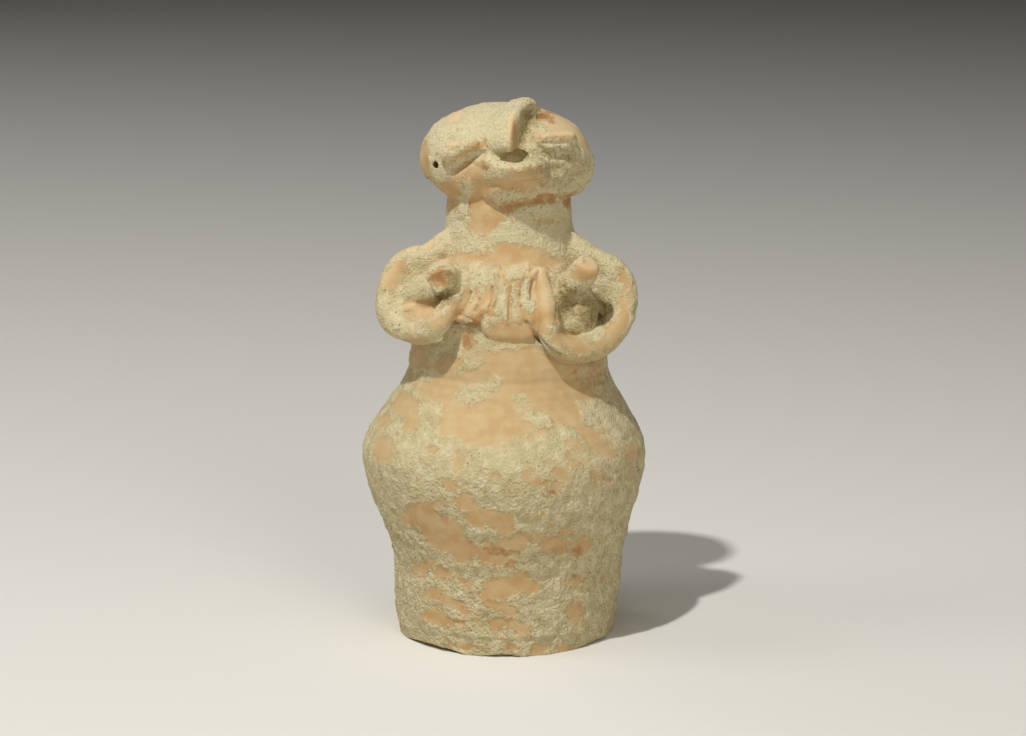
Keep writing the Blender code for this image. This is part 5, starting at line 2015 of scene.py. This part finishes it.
@dataclass(frozen=True)
class Figurine:
    """The whole figurine: every lump of clay, joined, worked, hollowed and weathered."""

    picture: Picture
    body: ThrownBody = ThrownBody()
    flake_middle: Triple = (-22.6, -37.3, 130.0)
    flake_radius: float = 9.3
    pad_half_axes: Triple = (11.0, 3.0, 7.8)
    pad_height: float = 117.5

    def head(self) -> Head:
        """The head on this body."""
        return Head(self.body)

    def arms(self) -> list[Arm]:
        """The arms, which the maker looped one unlike the other.

        Returns:
            The right arm and the left arm.
        """
        return [
            Arm(
                self.body,
                name="right",
                side=-1.0,
                shoulder=135.0,
                slope=6.0,
                drop=11.8,
                half_width=14.6,
                lean=1.8,
                squareness=0.26,
                wrist_bearing=39.0,
                finger_bearings=(24.0, 16.8, 9.8),
                forefinger=2.1,
                fan=0.4,
                web_front=19.0,
                loop_end=170.0,
                forearm=((27.4, 27.6, 112.2), (22.8, 31.2, 116.2)),
                finger_start=0.38,
                tip_bearing=26.5,
                corner_cut=0.5,
            ),
            Arm(
                self.body,
                name="left",
                side=1.0,
                shoulder=132.8,
                slope=8.2,
                drop=13.4,
                half_width=13.3,
                lean=-1.6,
                squareness=0.06,
                wrist_bearing=22.5,
                finger_bearings=(13.4, 6.0, -1.0),
                forefinger=2.6,
                fan=0.0,
                web_front=13.5,
                loop_end=240.0,
                forearm=(),
                finger_start=0.0,
                tip_bearing=22.5,
                corner_cut=0.0,
            ),
        ]

    def breasts(self) -> list[Breast]:
        """The breasts, of which one is broken.

        Returns:
            The right breast, a stub broken off short, and the left one with its long knob.
        """
        stub = (1.0, 0.85, 0.7, 0.6, 0.55, 0.5)
        knob = (1.0, 0.7, 0.45, 0.35, 0.1, -0.6)
        right = ((20.0, 19.0, 127.0), (0.24, 0.80, 0.42), 12.5, 0.8, stub)
        left = ((19.5, 18.0, 123.0), (0.45, 0.50, 0.74), 17.8, 1.15, knob)
        return [
            Breast(self.body, "right breast", -1.0, *right),
            Breast(self.body, "left breast", 1.0, *left),
        ]

    def broken_face(self) -> Lump:
        """The flake that broke off the right breast: a ball that leaves a shallow hollow face."""
        return ball("broken flake", np.array(self.flake_middle), (self.flake_radius,) * 3)

    def chest_pad(self) -> Lump:
        """The pad of clay pressed on between the hands."""
        centre = self.body.on_skin(2.0, -0.6, self.pad_height)
        return ball("chest pad", centre, self.pad_half_axes, (-6.0, 0.0, 0.0), 0.2)

    def lumps(self) -> list[Lump]:
        """Every lump of clay that is pressed together."""
        made = [self.body.solid(), self.chest_pad()] + self.head().lumps()
        for part in self.arms() + self.breasts():
            made += part.lumps()
        return made

    def build(self) -> bpy.types.Object:
        """Models the figurine.

        Returns:
            The finished object at the origin, in metres, with its values for the material.
        """
        weathering = Weathering(self.picture)
        work = ClayWork(self.picture, self.body, weathering)
        clay = work.join(self.lumps())
        work.sculpt(clay)
        clay = work.lighten(clay)
        cutters = [self.body.hollow(), Foot(self.body).ground(), self.broken_face()]
        cutters += self.head().cuts()
        clay = cut(clay, cutters)
        self.dress(clay, weathering)
        clay.name = clay.data.name = "terracotta_figurine"
        clay.data.shade_smooth()
        log.info("%s has %d polygons", clay.name, len(clay.data.polygons))
        return clay

    def dress(self, clay: bpy.types.Object, weathering: Weathering) -> None:
        """Stores what the material reads, and gives the clay its material.

        Args:
            clay: The finished figurine.
            weathering: Where the crust has worn off.
        """
        points, normals = surface(clay)
        for layer, depth in weathering.bareness(points, normals).items():
            write_values(clay, layer.name.lower(), depth)
        # How far up each surface faces, which the material paints paler with dust and top light
        write_values(clay, "upward", normals[:, 2])
        clay.data.materials.clear()
        clay.data.materials.append(WeatheredTerracotta().make())


@dataclass(frozen=True)
class Lamp:
    """One soft lamp: a disc that points at the figurine."""

    name: str
    place: Triple
    diameter: float
    watts: float
    colour: str

    def make(self) -> None:
        """Adds the lamp to the scene."""
        data = bpy.data.lights.new(self.name, "AREA")
        data.shape = "DISK"
        data.size = self.diameter
        data.energy = self.watts
        data.color = linear_colour(self.colour)[:3]
        made = bpy.data.objects.new(self.name, data)
        made.location = self.place
        aim = Vector((0.0, 0.0, 0.08)) - made.location
        made.rotation_euler = aim.to_track_quat("-Z", "Y").to_euler()
        bpy.context.scene.collection.objects.link(made)


@dataclass(frozen=True)
class Studio:
    """A plain pale floor and soft studio lamps."""

    floor_colour: str = "e6e3db"
    floor_size: float = 12.0
    world_colour: str = "d8dade"
    world_strength: float = 0.004
    lamps: tuple[Lamp, ...] = (
        Lamp("key lamp", (-0.437, -0.788, 1.522), 0.06, 20.0, "ffffff"),
        Lamp("left fill", (-1.50, -0.20, 1.30), 1.00, 6.0, "ffffff"),
        Lamp("front fill", (0.60, -1.40, 0.90), 0.80, 6.6, "fffaec"),
        Lamp("top fill", (0.15, -0.35, 1.90), 1.20, 4.2, "ffffff"),
        Lamp("right fill", (1.10, -0.80, 0.45), 0.60, 1.2, "ffffff"),
        Lamp("back light", (-1.90, 1.35, 1.15), 0.80, 5.2, "ffffff"),
    )

    def floor(self) -> bpy.types.Object:
        """The pale floor, which runs far back.

        Returns:
            The floor with its matt paper on it.
        """
        half = self.floor_size / 2 / MM
        corners = np.array([(-1, -1, 0), (1, -1, 0), (1, 1, 0), (-1, 1, 0)]) * half
        made = mesh_object("floor", corners, [(0, 1, 2, 3)])
        paper = bpy.data.materials.new("pale matt paper")
        paper.use_nodes = True
        shader = paper.node_tree.nodes["Principled BSDF"]
        shader.inputs["Base Color"].default_value = linear_colour(self.floor_colour)
        shader.inputs["Roughness"].default_value = 0.9
        shader.inputs["Specular IOR Level"].default_value = 0.1
        made.data.materials.append(paper)
        return made

    def build(self) -> None:
        """Adds the floor, the lamps and a little light from all round."""
        self.floor()
        for lamp in self.lamps:
            lamp.make()
        scene = bpy.context.scene
        scene.world = bpy.data.worlds.new("room")
        scene.world.use_nodes = True
        room = scene.world.node_tree.nodes["Background"]
        room.inputs["Color"].default_value = linear_colour(self.world_colour)
        room.inputs["Strength"].default_value = self.world_strength
        scene.view_settings.view_transform = "Standard"
        log.info("studio ready")


def main() -> None:
    """Builds the figurine, its studio and its camera."""
    logging.basicConfig(level=logging.INFO, format="%(name)s: %(message)s")
    picture = Picture()
    figurine = Figurine(picture).build()
    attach(figurine, BODY)
    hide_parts(NODE)
    Studio().build()
    picture.camera()


if __name__ == "__main__":
    main()
